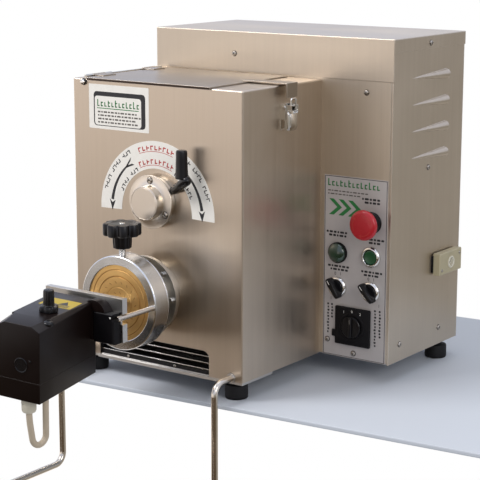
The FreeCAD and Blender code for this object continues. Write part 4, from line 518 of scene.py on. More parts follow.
def relief(nodes, links, shader, height, strength, distance=0.0002, corner=0.0):
    """Bump from a height, with the corners broken where corner is given, in metres."""
    bump = nodes.new("ShaderNodeBump")
    bump.inputs["Strength"].default_value = strength
    bump.inputs["Distance"].default_value = distance
    links.new(height, bump.inputs["Height"])
    if corner:
        soft = nodes.new("ShaderNodeBevel")
        soft.samples = 6
        soft.inputs["Radius"].default_value = corner
        links.new(soft.outputs["Normal"], bump.inputs["Normal"])
    links.new(bump.outputs["Normal"], shader.inputs["Normal"])


def brushed_sheet(name, color, stretch, rough, corner=0.0009, spread=0.10, low_tone=0.93, high_tone=1.05):
    """Brushed stainless sheet: scratches along one way, soft handling marks and broken corners lightened in
    colour, partly wear and partly painted highlight.
    """
    material, nodes, links, shader = blank(name, Metallic=1.0, Anisotropic=0.35)
    lines = effect(nodes, "Brush lines", Stretch=stretch, Contrast=0.9)
    cloud = effect(nodes, "Hand smudges", Scale=7.0)
    wear_and_highlight = effect(nodes, "Edge wear and highlight", Width=0.0011, Amount=1.1)
    base = tone(nodes, links, lines.outputs["Streak"], shaded(color, low_tone), shaded(color, high_tone))
    clouded = nodes.new("ShaderNodeMix")
    clouded.data_type = "RGBA"
    clouded.blend_type = "MULTIPLY"
    clouded.inputs[0].default_value = 1.0
    links.new(base, clouded.inputs[6])
    links.new(tone(nodes, links, cloud.outputs["Cloud"], (0.88, 0.87, 0.86, 1), (1.08, 1.08, 1.08, 1)),
              clouded.inputs[7])
    # Corners lightened towards pale steel: partly wear, partly painted highlight.
    bright = nodes.new("ShaderNodeMix")
    bright.data_type = "RGBA"
    bright.inputs[7].default_value = (0.86, 0.83, 0.78, 1)
    links.new(wear_and_highlight.outputs["Mask"], bright.inputs[0])
    links.new(clouded.outputs[2], bright.inputs[6])
    links.new(bright.outputs[2], shader.inputs["Base Color"])
    streaked = between(nodes, links, lines.outputs["Streak"], rough - spread / 2, rough + spread / 2)
    handled = math_node(nodes, "MULTIPLY_ADD")
    handled.inputs[1].default_value = 0.10
    links.new(cloud.outputs["Cloud"], handled.inputs[0])
    links.new(streaked, handled.inputs[2])
    links.new(handled.outputs[0], shader.inputs["Roughness"])
    relief(nodes, links, shader, lines.outputs["Height"], 0.08, 0.00008, corner)
    return material


def turned_metal(name, color, rough, wear_and_highlight=0.4, corner=0.0004, skin=0.02):
    """Machined or polished metal with faint handling marks; its edges are lightened in colour, partly wear
    and partly painted highlight.
    """
    material, nodes, links, shader = blank(name, Metallic=1.0)
    cloud = effect(nodes, "Hand smudges", Scale=26.0)
    grain = effect(nodes, "Moulded skin", Scale=2600.0)
    edge = effect(nodes, "Edge wear and highlight", Width=0.0005, Amount=wear_and_highlight)
    base = tone(nodes, links, cloud.outputs["Cloud"], shaded(color, 0.88), shaded(color, 1.08))
    # Edges lightened by a third: partly wear, partly painted highlight.
    bright = nodes.new("ShaderNodeMix")
    bright.data_type = "RGBA"
    bright.inputs[7].default_value = shaded(color, 1.35)
    links.new(edge.outputs["Mask"], bright.inputs[0])
    links.new(base, bright.inputs[6])
    links.new(bright.outputs[2], shader.inputs["Base Color"])
    links.new(between(nodes, links, cloud.outputs["Cloud"], rough * 0.75, rough * 1.3),
              shader.inputs["Roughness"])
    relief(nodes, links, shader, grain.outputs["Height"], skin, 0.00005, corner)
    return material


def moulded(name, color, rough, skin=0.12, wear_and_highlight=0.25, coat=0.0, scale=1500.0, shine=0.5):
    """Moulded plastic or rubber: pebbled skin, edges lightened partly by rubbing and partly as painted
    highlight, and a little unevenness in its gloss.
    """
    material, nodes, links, shader = blank(name, Coat_Weight=coat, Coat_Roughness=0.12,
                                           Specular_IOR_Level=shine)
    cloud = effect(nodes, "Hand smudges", Scale=30.0)
    edge = effect(nodes, "Edge wear and highlight", Width=0.0007, Amount=wear_and_highlight)
    skin_node = effect(nodes, "Moulded skin", Scale=scale)
    base = tone(nodes, links, cloud.outputs["Cloud"], shaded(color, 0.8), shaded(color, 1.2))
    # Edges lightened towards grey: partly rubbed wear, partly painted highlight.
    rubbed_and_highlit = nodes.new("ShaderNodeMix")
    rubbed_and_highlit.data_type = "RGBA"
    rubbed_and_highlit.inputs[7].default_value = tuple(min(1.0, c * 1.8 + 0.008) for c in color[:3]) + (1.0,)
    links.new(edge.outputs["Mask"], rubbed_and_highlit.inputs[0])
    links.new(base, rubbed_and_highlit.inputs[6])
    links.new(rubbed_and_highlit.outputs[2], shader.inputs["Base Color"])
    links.new(between(nodes, links, cloud.outputs["Cloud"], rough * 0.8, rough * 1.25),
              shader.inputs["Roughness"])
    relief(nodes, links, shader, skin_node.outputs["Height"], skin, 0.0001)
    return material


def printed(name, color, rough=0.45):
    """Ink or film: an even tone with the slightest mottle."""
    material, nodes, links, shader = blank(name)
    cloud = effect(nodes, "Hand smudges", Scale=60.0)
    links.new(tone(nodes, links, cloud.outputs["Cloud"], shaded(color, 0.92), shaded(color, 1.06)),
              shader.inputs["Base Color"])
    links.new(between(nodes, links, cloud.outputs["Cloud"], rough - 0.08, rough + 0.08),
              shader.inputs["Roughness"])
    return material


def bronze_face(name, color):
    """Turned bronze: fine rings about the die's centre, dulled in patches."""
    material, nodes, links, shader = blank(name, Metallic=1.0)
    where = nodes.new("ShaderNodeTexCoord")
    moved = nodes.new("ShaderNodeMapping")
    moved.inputs["Location"].default_value = (-TANK_X * 0.001, 0.0, -DIE_Z * 0.001)
    links.new(where.outputs["Object"], moved.inputs["Vector"])
    rings = nodes.new("ShaderNodeTexWave")
    rings.wave_type = "RINGS"
    rings.rings_direction = "Y"
    rings.inputs["Scale"].default_value = 420.0
    rings.inputs["Distortion"].default_value = 0.6
    rings.inputs["Detail"].default_value = 1.0
    links.new(moved.outputs["Vector"], rings.inputs["Vector"])
    cloud = effect(nodes, "Hand smudges", Scale=32.0, Softness=0.6)
    base = tone(nodes, links, cloud.outputs["Cloud"], shaded(color, 0.70), shaded(color, 1.25))
    links.new(base, shader.inputs["Base Color"])
    links.new(between(nodes, links, cloud.outputs["Cloud"], 0.26, 0.48), shader.inputs["Roughness"])
    relief(nodes, links, shader, rings.outputs["Fac"], 0.25, 0.00008, 0.0003)
    return material


def lens(name, color):
    """A tinted lens with a ribbed inside."""
    material, nodes, links, shader = blank(name, Coat_Weight=1.0, Coat_Roughness=0.04, IOR=1.5)
    where = nodes.new("ShaderNodeTexCoord")
    ribs = nodes.new("ShaderNodeTexChecker")
    ribs.inputs["Scale"].default_value = 900.0
    links.new(where.outputs["Object"], ribs.inputs["Vector"])
    cloud = effect(nodes, "Hand smudges", Scale=50.0)
    links.new(tone(nodes, links, cloud.outputs["Cloud"], shaded(color, 0.6), shaded(color, 2.0)),
              shader.inputs["Base Color"])
    links.new(between(nodes, links, cloud.outputs["Cloud"], 0.16, 0.28), shader.inputs["Roughness"])
    relief(nodes, links, shader, ribs.outputs["Fac"], 0.12, 0.0002)
    return material


MATERIALS = {}


def finish(name):
    """Each finish is made once, when a piece first asks for it."""
    if name in MATERIALS:
        return MATERIALS[name]
    look = finish_of()
    rough = look.sheet_gloss
    up, along = (1100, 1100, 9), (1100, 9, 1100)
    makers = {
        "tank": lambda: brushed_sheet("Tank brushed steel", look.steel, up, rough),
        # The lid and its keeper take the tank's steel darkened to two thirds: painted shade, since it is the
        # same steel that only reads darker there.
        "lid": lambda: brushed_sheet("Lid brushed steel in painted shade", shaded(look.steel, 0.66)[:3], along, rough,
                                     corner=0.0004),
        "cabinet": lambda: brushed_sheet("Cabinet brushed steel", look.cabinet, up, rough + 0.04),
        "inner": lambda: brushed_sheet("Inner steel", (0.62, 0.60, 0.57), (9, 900, 900), 0.30),
        "plain": lambda: turned_metal("Plain steel", (0.60, 0.58, 0.54), 0.30),
        "polished": lambda: turned_metal("Polished steel", look.bright, 0.14),
        "screw": lambda: turned_metal("Screw steel", (0.44, 0.40, 0.35), 0.28),
        "ring": lambda: turned_metal("Turned ring steel", (0.74, 0.75, 0.75), 0.20),
        "cast": lambda: turned_metal("Satin cast metal", (0.76, 0.68, 0.58), 0.32, skin=0.05),
        "rod": lambda: turned_metal("Rod steel", (0.66, 0.60, 0.52), 0.20),
        "bronze": lambda: bronze_face("Die bronze", look.bronze),
        # Darker bronze for the die's grooves and openings: painted shade.
        "die_mark": lambda: turned_metal("Die slot painted shade", (0.50, 0.27, 0.09), 0.40),
        "bush": lambda: turned_metal("Bush bronze", (0.62, 0.42, 0.20), 0.32),
        "iron": lambda: turned_metal("Machined iron", (0.32, 0.32, 0.33), 0.40),
        "black": lambda: moulded("Black knob plastic", look.black, 0.28, coat=0.06, shine=0.3),
        "matt_black": lambda: moulded("Matt black plastic", look.black, 0.45, shine=0.17),
        "rubber": lambda: moulded("Foot rubber", (0.007, 0.0065, 0.007), 0.60, skin=0.3, scale=900.0,
                                  shine=0.25),
        "belt": lambda: moulded("Belt rubber", (0.020, 0.020, 0.020), 0.70, skin=0.3, scale=700.0),
        # The housing's lightened edges are partly wear and partly painted highlight.
        "housing": lambda: moulded("Housing paint", look.housing, 0.32, skin=0.06, wear_and_highlight=0.6, shine=0.2),
        "red": lambda: moulded("Stop button red", look.stop, 0.34, coat=0.3),
        "green": lambda: moulded("Button green", (0.007, 0.075, 0.024), 0.30, coat=0.2),
        "lamp": lambda: lens("Lamp lens", look.lamp),
        "beige": lambda: moulded("Outlet beige plastic", look.outlet, 0.42),
        "rim": lambda: moulded("Outlet rim plastic", (0.74, 0.71, 0.60), 0.38),
        "nylon": lambda: moulded("White nylon", (0.70, 0.66, 0.56), 0.40),
        "lead": lambda: moulded("Lead sheath", (0.64, 0.55, 0.44), 0.36, scale=500.0),
        "dark_paint": lambda: moulded("Outlet dark paint", (0.006, 0.0055, 0.006), 0.42, wear_and_highlight=0.2,
                                      shine=0.3),
        # Dark brown for the strip along the lid's front edge: painted shade of the gap there.
        "brown_edge": lambda: moulded("Lid edge painted shade", (0.035, 0.018, 0.010), 0.45, shine=0.3),
        "motor_paint": lambda: moulded("Motor paint", (0.10, 0.12, 0.14), 0.38, wear_and_highlight=0.5),
        # Near-black for recesses, hole floors and the ring round the lid bolt: painted shade.
        "hole": lambda: printed("Recess painted shade", (0.006, 0.006, 0.006), 0.7),
        "film": lambda: printed("White label film", (0.96, 0.93, 0.90), 0.40),
        "face": lambda: printed("Control plate face", (0.50, 0.47, 0.47), 0.38),
        # Black ink is also the painted shade ring under the screw heads.
        "ink_and_shade": lambda: printed("Black print ink and painted shade", (0.015, 0.015, 0.018)),
        "grey_ink": lambda: printed("Grey ink", (0.12, 0.11, 0.10)),
        "green_ink": lambda: printed("Green ink", look.print_green),
        "red_ink": lambda: printed("Red ink", (0.50, 0.03, 0.03)),
        # White ink also paints the glint on the cutter clamp.
        "white_ink_and_glint": lambda: printed("White print ink and painted glint", (0.80, 0.80, 0.78)),
        "yellow_film": lambda: printed("Yellow film", (0.48, 0.35, 0.02)),
    }
    MATERIALS[name] = makers[name]()
    return MATERIALS[name]


def coat_node(node, name):
    """Give a carried-over node its finish."""
    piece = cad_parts[node]
    if not piece.material_slots:
        piece.data.materials.append(finish(name))
    for slot in piece.material_slots:
        slot.material = finish(name)


# Fittings that repeat

def cross_screw(form, at, radius=4.0, height=2.2):
    """Domed head with a cross recess. The dark disc under the head is painted shade round its rim, and the
    dark cross over the head stands for the recess as painted shade.
    """
    # Dark disc a little wider than the head: painted shade round its rim.
    form.of(finish("ink_and_shade"))
    form.turned([(radius, 0), (radius, height * 0.12), (0, height * 0.12)], at, steps=28)
    form.of(finish("screw"))
    head = radius * 0.84
    form.turned([(head, height * 0.12), (head, height * 0.3), (head * 0.86, height * 0.75),
                 (head * 0.5, height * 0.97), (0, height)], at, steps=28)
    # Dark cross standing for the recess: painted shade.
    form.of(finish("hole"))
    for turn in (0, 90):
        cross = at @ Matrix.Rotation(math.radians(turn + 20), 4, "Z")
        low, high = (-radius * 0.52, -0.32, height * 0.6), (radius * 0.52, 0.32, height * 1.03)
        form.box(low, high, edge=0.1, steps=1, at=cross)


def socket_screw(form, at, radius=4.2, height=3.0):
    """Button head with a hexagon recess. The dark disc under the head is painted shade round its rim, and
    the recess's dark floor is painted shade.
    """
    # Dark disc a little wider than the head: painted shade round its rim.
    form.of(finish("ink_and_shade"))
    form.turned([(radius * 1.16, 0), (radius * 1.16, 0.25), (0, 0.25)], at, steps=30)
    form.of(finish("screw"))
    form.turned([(radius, 0.2), (radius, height * 0.35), (radius * 0.9, height * 0.75),
                 (radius * 0.55, height), (radius * 0.45, height), (radius * 0.42, height * 0.45),
                 (0, height * 0.4)],
                at, steps=30)
    # Dark floor of the hexagon recess: painted shade.
    form.of(finish("hole"))
    form.turned([(radius * 0.41, height * 0.42), (0, height * 0.43)], at, steps=6)


def hex_screw(form, at, radius=3.8, height=3.6):
    form.of(finish("plain"))
    form.turned([(radius * 1.25, 0), (radius * 1.25, 0.6), (0, 0.6)], at, steps=24)
    form.turned([(radius, 0.5), (radius, height * 0.85), (radius * 0.85, height), (0, height)], at, steps=6)


def knob_profile(radius, height, round_top):
    """A cylinder's profile with a soft upper edge."""
    points = [(radius, 0)]
    for step in range(6):
        angle = math.radians(90 * step / 5)
        points.append((radius - round_top * (1 - math.cos(angle)),
                       height - round_top * (1 - math.sin(angle))))
    return points + [(0, height)]


# Operators

class PASTA_OT_case(bpy.types.Operator):
    """Give the tank, cabinet and inner works their finishes"""
    bl_idname = "pasta.case"
    bl_label = "Case sheets"

    def execute(self, context):
        for node, name in {
                "tank_shell": "tank", "lid": "lid", "lid_keeper": "lid", "cabinet_front": "cabinet",
                "side_panel_right": "cabinet", "cabinet_wrap": "cabinet", "top_cover": "cabinet",
                "floor_pan": "inner", "tank_liner": "inner", "lid_hinge": "plain", "barrel": "plain",
                "auger": "plain", "mixer_shaft": "plain", "mixer_paddles": "plain", "chute_gate": "inner",
                "shaft_bushes": "bush", "mixer_pulley": "iron", "auger_pulley": "iron",
                "motor_pulley": "iron", "drive_belts": "belt", "motor": "motor_paint",
                "control_box": "matt_black", "fan_rotor": "plain", "fan_housing": "inner",
                "cutter_rods": "rod", "cutter_knife": "polished", "tray_hanger": "rod",
                "cutter_lead": "lead"}.items():
            coat_node(node, name)
        return {"FINISHED"}


class PASTA_OT_feet(bpy.types.Operator):
    """Mould the four rubber feet, each with a shallow recess in its underside"""
    bl_idname = "pasta.feet"
    bl_label = "Rubber feet"

    def execute(self, context):
        form = Form("feet.moulded").of(finish("rubber"))
        front, rear = 22.5, 26.0
        for x, y, top in ((LEFT + 21, FRONT + 16, front), (TANK_RIGHT - 21, FRONT + 16, front),
                          (LEFT + 16.5, BACK - 33, rear), (RIGHT - 16.5, BACK - 33, rear)):
            form.turned([(0, 1.2), (5, 1.2), (5.6, 0.2), (6.4, 0), (13.2, 0), (14.6, 0.5), (15.3, 1.6),
                         (15.5, 5), (15.2, 17), (14.6, 18.6), (13.0, 19.2), (8.6, 19.4), (8.2, 20.0),
                         (8.2, top), (0, top)], Matrix.Translation((x, y, 0)))
        form.done("case", "rubber_feet", finish="black_rubber")
        return {"FINISHED"}


class PASTA_OT_case_screws(bpy.types.Operator):
    """Set the cross-recessed screws of the covers and panels"""
    bl_idname = "pasta.case_screws"
    bl_label = "Case screws"

    def execute(self, context):
        form = Form("screws.case")
        apron, wall = SEAM - COVER_THICK, RIGHT - COVER_THICK
        for face, x, y, z in (
                ("front", TANK_X - 3, apron, COVER_TOP - 31), ("front", 155, SEAM, 392.5),
                ("right", RIGHT, SEAM + 95, COVER_TOP - 10.3), ("right", wall, SEAM + 97.6, 284.5),
                ("right", wall, SEAM + 29.5, 49.5), ("right", wall, SEAM + 138.8, 50.3),
                ("front", 99.5, PLATE_Y, 48.9), ("front", 141.5, PLATE_Y, 34.5),
                ("back", LEFT + 16, BACK - COVER_THICK, 86), ("back", RIGHT - 16, BACK - COVER_THICK, 86),
                ("back", LEFT + 16, BACK - COVER_THICK, COVER_TOP - 60),
                ("back", RIGHT - 16, BACK - COVER_THICK, COVER_TOP - 60)):
            cross_screw(form, on(face, x, y, z))
        bolt = on("front", LEFT + 19.5, FRONT, TANK_TOP - 4.2)
        # The dark disc wider than the bolt's head is painted shade round it.
        form.of(finish("hole")).turned([(0, 0), (4.6, 0), (4.6, 0.9), (0, 0.9)], bolt, steps=32)
        form.of(finish("polished"))
        form.turned([(0, 0.8), (3.5, 0.8), (3.5, 3.8), (2.9, 4.7), (1.6, 5.0), (0, 5.0)], bolt, steps=32)
        form.done("case", "case_screws", finish="polished_steel")
        return {"FINISHED"}


class PASTA_OT_latch(bpy.types.Operator):
    """Shape the lid's toggle latch: base, lever and wire bail"""
    bl_idname = "pasta.latch"
    bl_label = "Lid latch"

    def execute(self, context):
        coat_node("latch_base", "polished")
        coat_node("latch_lever", "polished")
        # A thin dark brown strip in front of the lid's front edge: painted shade of the gap at the lid's
        # lip.
        edge_shade = Form("lid.edge_shade").of(finish("brown_edge"))
        edge_shade.box((LEFT + 26.1, FRONT - 2.5, TANK_TOP - 1.1), (LEFT + 231.9, FRONT - 2.2, TANK_TOP + 1.3),
                 edge=0.1)
        edge_shade.done("lid", finish="tank_sheet")
        face = TANK_RIGHT + 11.5
        form = Form("latch.grip").of(finish("polished"))
        form.plate(rounded(20.4, 25.5, 4.5), 1.7, on("right", face - 0.15, LATCH_Y, 360.5), edge=0.6)
        form.plate(rounded(13.0, 18.0, 3.4), 0.5, on("right", face + 1.5, LATCH_Y, 360.5), edge=0.25)
        form.done("latch_lever", finish="polished_steel")
        bail_x = TANK_RIGHT + 12 + 1.4 + 0.3
        wire = Form("latch.bail").of(finish("polished"))
        corner = [(bail_x, LATCH_Y - 5.3, 374), (bail_x, LATCH_Y - 5.3, 389), (bail_x, LATCH_Y + 5.3, 389),
                  (bail_x, LATCH_Y + 5.3, 374)]
        wire.rod(bent([(bail_x, LATCH_Y - 9, 373.2), (bail_x, LATCH_Y - 5.3, 373.2)] + corner[1:3]
                      + [(bail_x, LATCH_Y + 5.3, 373.2), (bail_x, LATCH_Y + 9, 373.2)], 1.9), 1.4, sides=14)
        wire.done("latch_bail", "latch_bail", finish="polished_steel")
        pins = Form("latch.pins").of(finish("polished"))
        for y in (-10.4, 9.4):
            end = on("front", 91, LATCH_Y + y, 378) if y < 0 else on("back", 91, LATCH_Y + y + 1, 378)
            pins.turned(knob_profile(2.6, 1.0, 0.5), end)
        pins.done("case", finish="polished_steel")
        return {"FINISHED"}


class PASTA_OT_hub(bpy.types.Operator):
    """Turn the mixer's bearing cap and set its screws and the barrel's"""
    bl_idname = "pasta.hub"
    bl_label = "Mixer hub"

    def execute(self, context):
        form = Form("hub.cap").of(finish("cast"))
        form.turned([(20, -8), (20, 9.0), (35.2, 9.0), (35.8, 9.5), (35.8, 11.6), (35.4, 12.1),
                     (23.6, 12.1), (22.9, 12.5), (22.7, 13.4), (22.7, 24.6), (22.4, 25.3), (21.7, 25.6),
                     (21.3, 25.6), (21.1, 25.2), (20.6, 25.2), (20.4, 25.6), (19.9, 25.6), (0, 25.6)],
                    on("front", TANK_X, FRONT, MIXER_Z))
        form.done("case", "hub_flange", finish="cast_hub")
        screws = Form("screws.front")
        cap_circle, flange_circle, flange_out = 29, 46, 26
        for angle in (90, 210, 330):
            x = TANK_X + cap_circle * math.cos(math.radians(angle))
            z = MIXER_Z + cap_circle * math.sin(math.radians(angle))
            socket_screw(screws, on("front", x, FRONT - 12.1, z, 15), 4.2, 2.3)
        for step in range(8):
            angle = math.radians(45 * step)
            x, z = TANK_X + flange_circle * math.cos(angle), DIE_Z + flange_circle * math.sin(angle)
            hex_screw(screws, on("front", x, FRONT - flange_out, z, 20 * step))
        screws.done("case", "front_screws", finish="polished_steel")
        return {"FINISHED"}


class PASTA_OT_mode_lever(bpy.types.Operator):
    """Shape the lever that changes from kneading to extruding"""
    bl_idname = "pasta.mode_lever"
    bl_label = "Mode lever"

    def execute(self, context):
        form = Form("lever.mode").of(finish("polished"))
        form.turned([(20.2, 0.6), (33, 0.6), (33, 8.4), (20.2, 8.4)], on("front", TANK_X, FRONT, MIXER_Z))
        turn = math.radians(28.3)

        def point(reach, out):
            return Vector((TANK_X + reach * math.cos(turn), FRONT - out, MIXER_Z + reach * math.sin(turn)))

        form.of(finish("black"))
        inner = [point(28, 4.5), point(34, 4.5), point(38, 5.8), point(44, 7.4)]
        form.rod(inner, [3.9, 3.9, 5.0, 5.6], sides=22)
        form.rod([point(37.6, 5.6), point(38.8, 5.8), point(41, 6.5), point(43, 7.2), point(59, 13.1),
                  point(75, 19), point(78.2, 20.2), point(80.2, 20.9), point(81.2, 21.2)],
                 [2.6, 4.4, 5.6, 6.0, 6.1, 6.4, 5.6, 3.8, 1.4], sides=28)
        grip = Matrix.Translation(point(75, 19) + Vector((-7.6, 0, 2.3)))
        form.turned([(0, 0), (8.3, 0), (8.7, 0.7), (8.5, 4.0), (8.0, 12.0), (7.5, 26.0), (7.4, 34.0),
                     (7.0, 36.0), (5.9, 36.9), (0, 37.0)], grip)
        form.done("mode_lever", "mode_lever", finish="black_plastic")
        return {"FINISHED"}


class PASTA_OT_extruder(bpy.types.Operator):
    """Turn the die ring and the die, and set the star knob"""
    bl_idname = "pasta.extruder"
    bl_label = "Ring, die and star knob"

    def execute(self, context):
        ring = Form("ring.turned").of(finish("ring"))
        ring.turned([(52.6, 51), (61.4, 51), (62.3, 51.9), (62.3, 53.2), (61.8, 53.6), (62.3, 54.0),
                     (62.3, 78.2), (61.6, 79.1), (61.0, 79.5), (60.5, 79.5), (51.3, 79.5), (50.8, 79.5),
                     (50.2, 79.1), (50.0, 78.3), (50.0, 78.0), (52.3, 78.0), (52.3, 51)],
                    on("front", TANK_X, FRONT, DIE_Z), steps=128)
        ring.done("case", "die_ring", finish="polished_steel")
        die = Form("die.bronze").of(finish("bronze"))
        profile = [(52, 66.9), (52, 78.0), (44.6, 78.0), (44.3, 77.5), (43.4, 77.5), (43.1, 78.0),
                   (35.8, 78.0), (35.4, 77.0), (34.6, 77.0), (34.2, 78.2), (21.5, 78.2), (21.2, 77.6),
                   (20.4, 77.6), (20.1, 78.2), (6.5, 78.2), (6.2, 77.6), (5.4, 77.6), (5.1, 78.3), (0, 78.3)]
        die.turned(profile, on("front", TANK_X, FRONT, DIE_Z), steps=128)
        die.turned([(52, 66.9), (0, 66.9)], on("front", TANK_X, FRONT, DIE_Z), steps=64)
        # Darker bronze rings in the two grooves and darker marks for the die's openings: painted shade in
        # the grooves and slots.
        die.of(finish("die_mark"))
        for radius in (43.75, 35.0):
            low, high = radius - 0.4, radius + 0.4
            die.turned([(high, 77.6), (high, 77.75), (low, 77.75), (low, 77.6)],
                       on("front", TANK_X, FRONT, DIE_Z), steps=96)
        for circle, count, turn in ((27.5, 18, 0), (14.0, 10, 9)):
            for step in range(count):
                angle = 360 * step / count + turn
                at = on("front", TANK_X, FRONT - 78.2, DIE_Z, angle)
                slot = at @ Matrix.Translation((circle, 0, 0)) @ Matrix.Rotation(0.7, 4, "Z")
                die.plate(rounded(4.2, 1.3, 0.6, 3), 0.12, slot)
        die.done("case", "die", finish="bronze")
        knob = Form("knob.star").of(finish("black"))
        place = Matrix.Translation((TANK_X, FRONT - 69.5, 0))

        low, neck, top = DIE_Z + 71.7, DIE_Z + 88.6, DIE_Z + 104.9

        def lobes(angle, radius):
            if radius < 16:
                return radius
            return radius - 4.2 * (0.5 - 0.5 * math.cos(8 * angle)) ** 2.0

        def ribs(angle, radius):
            return radius - 0.9 * (0.5 - 0.5 * math.cos(8 * angle)) ** 3

        knob.turned([(0, neck - 0.4), (18, neck - 0.4), (23.6, neck), (25.0, neck + 1.6), (25.0, top - 2.3),
                     (24.2, top - 0.6), (22.2, top), (14.5, top), (13.6, top - 0.6), (8.0, top - 0.9),
                     (0, top - 0.9)], place, steps=192, scallop=lobes)
        knob.turned([(0, low), (11.2, low), (11.9, low + 0.7), (12.5, low + 8.3), (12.8, neck), (0, neck)],
                    place, steps=128, scallop=ribs)
        knob.of(finish("polished"))
        thread = []
        height = 182.5
        while height < low:
            thread += [(4.6, height), (4.15, height + 0.35), (4.6, height + 0.7)]
            height += 0.75
        knob.turned([(0, 182.4), (4.0, 182.4)] + thread + [(0, low + 0.5)], place, steps=32)
        knob.turned([(3.8, top - 1.0), (3.8, top - 0.5), (3.2, top - 0.3), (0, top - 0.3)], place, steps=32)
        knob.done("star_knob", "star_knob", finish="black_plastic")
        return {"FINISHED"}


class PASTA_OT_labels(bpy.types.Operator):
    """Print the square label and the half-round lever label without any wording"""
    bl_idname = "pasta.labels"
    bl_label = "Front labels"

    def execute(self, context):
        form = Form("labels.front")
        square_label(form, -117.5, 370.3)
        lever_label(form, TANK_X + 1.2, MIXER_Z - 16)
        form.done("case", "front_labels", finish="label_film")
        return {"FINISHED"}


def title_marks(put, start, base, scale, count):
    """A row of tall marks that read as a printed title from afar, but spell nothing."""
    for step in range(count):
        tall = (6.2, 4.1, 4.1, 5.4, 4.1)[step % 5] * scale
        x = start + (step * 4.13 + 0.6) * scale
        put(x, base + tall / 2, 1.1 * scale, tall)
        put(x + 0.9 * scale, base + 0.5 * scale, 2.3 * scale, 1.0 * scale)
        if step % 2:
            put(x + 0.9 * scale, base + 3.6 * scale, 2.3 * scale, 1.0 * scale)


def row_marks(put, start, end, first):
    """A row of small marks of changing width, from start to end."""
    step = first
    while start < end:
        width = (4.4, 2.6, 6.2, 3.4, 5.2)[step % 5]
        put(start + width / 2, width)
        start += width + 1.5
        step += 1


def square_label(form, middle_x, middle_z):
    """A dark panel with a white one over it, a row of tall green marks and rows of small grey ones."""
    def panel(width, height, x, z, lift, radius=0.4):
        at = on("front", middle_x + x, FRONT - lift, middle_z + z)
        form.plate(rounded(width, height, radius, 3), INK_THICK, at)

    form.of(finish("film"))
    form.plate(rounded(103, 59.5, 1.2), FILM_THICK, on("front", middle_x, FRONT, middle_z))
    form.of(finish("ink_and_shade"))
    panel(88.8, 46, 1.3, -2.7, FILM_THICK, 5.0)
    form.of(finish("film"))
    panel(80, 39, -1.3, -5.2, FILM_THICK + INK_THICK, 4.0)
    form.of(finish("green_ink"))
    top = FILM_THICK + 2 * INK_THICK
    title_marks(lambda x, z, wide, tall: panel(wide, tall, x, z, top), -37, 0.4, 1.5, 12)
    panel(72, 1.1, -1.5, -2.0, top)
    form.of(finish("grey_ink"))
    for row, end in enumerate((30, 36, 26, 33)):
        row_marks(lambda x, wide: panel(wide, 2.1, x, -6.9 - row * 4.6, top), -36, end, row)


def lever_label(form, middle_x, middle_z):
    """A half ring of film: an arrow down each side, dark marks along its edges, red ones at its crown."""
    printed_on = on("front", middle_x, FRONT - FILM_THICK, middle_z)

    def mark(angle, radius, wide, tall):
        at = printed_on @ Matrix.Rotation(math.radians(angle), 4, "Z") @ Matrix.Translation((radius, 0, 0))
        form.plate(rounded(tall, wide, 0.4, 3), INK_THICK, at)

    form.of(finish("film"))
    form.plate(band(59, 95.5, -1.5, 181.5, 72), FILM_THICK, on("front", middle_x, FRONT, middle_z))
    for side in (-1, 1):
        form.of(finish("ink_and_shade"))
        for outline in curved_arrow(side):
            form.plate(outline, INK_THICK, printed_on)
        for radius, pitch, count in ((89.5, 3.5, 14), (63.5, 4.9, 9)):
            for step in range(count):
                if step % 5 != 3:
                    mark(90 + side * (30 + step * pitch), radius, 1.4, 5.2)
                    mark(90 + side * (31.5 + step * pitch), radius + (1.9, -1.9, 0.0)[step % 3], 3.0, 1.4)
    form.of(finish("red_ink"))
    for radius, half in ((85.0, 20.0), (67.0, 24.5)):
        form.plate(band(radius - 3.8, radius - 3.1, 90 - half, 90 + half), INK_THICK, printed_on)
        for step in range(9):
            angle = 90 + half - 1.5 - step * (2 * half - 3) / 8
            mark(angle + 1.0, radius + 1.2, 1.6, 6.2)
            mark(angle - 0.5, radius + 1.2 + (2.3, -2.1, 0.2)[step % 3], 3.4, 1.6)


def curved_arrow(side):
    """Outlines of a tapering arrow along the half-round label, its head down and its tail forked."""
    def at(angle, radius):
        turned = math.radians(90 + side * -angle)
        return (radius * math.cos(turned), radius * math.sin(turned))

    body = []
    for step in range(13):
        body.append((40 + 42 * step / 12, 1.2 + 1.2 * step / 12))
    shaft = [at(a, 76 + w) for a, w in body] + [at(a, 76 - w) for a, w in reversed(body)]
    head = [at(93, 76), at(82, 81.2), at(85, 76), at(82, 70.8)]
    tail = [at(42, 77.2), at(31, 82.4), at(33.5, 78.6), at(40, 75.4)]
    fork = [at(42, 74.8), at(31, 71.0), at(33.5, 74.2), at(40, 76.6)]
    pieces = [shaft, head, tail, fork]
    return [list(reversed(outline)) if side < 0 else outline for outline in pieces]


class PASTA_OT_air_outlet(bpy.types.Operator):
    """Paint the fan outlet's frame and edge its slats in bright steel"""
    bl_idname = "pasta.air_outlet"
    bl_label = "Air outlet"

    def execute(self, context):
        coat_node("fan_grille", "dark_paint")
        form = Form("outlet.edges").of(finish("polished"))
        for step in range(3):
            top = 26 + 9 + step * 8.9
            low = (OUTLET_X - 93.5, FRONT + 2.6, top - 1.25)
            form.box(low, (OUTLET_X + 93.5, FRONT + 3.6, top + 0.05), edge=0.3)
        for x in (-109.5, -29.0):
            cross_screw(form, on("front", x, FRONT + 3.5, 30), 2.6, 1.4)
        form.done("case", finish="polished_steel")
        return {"FINISHED"}


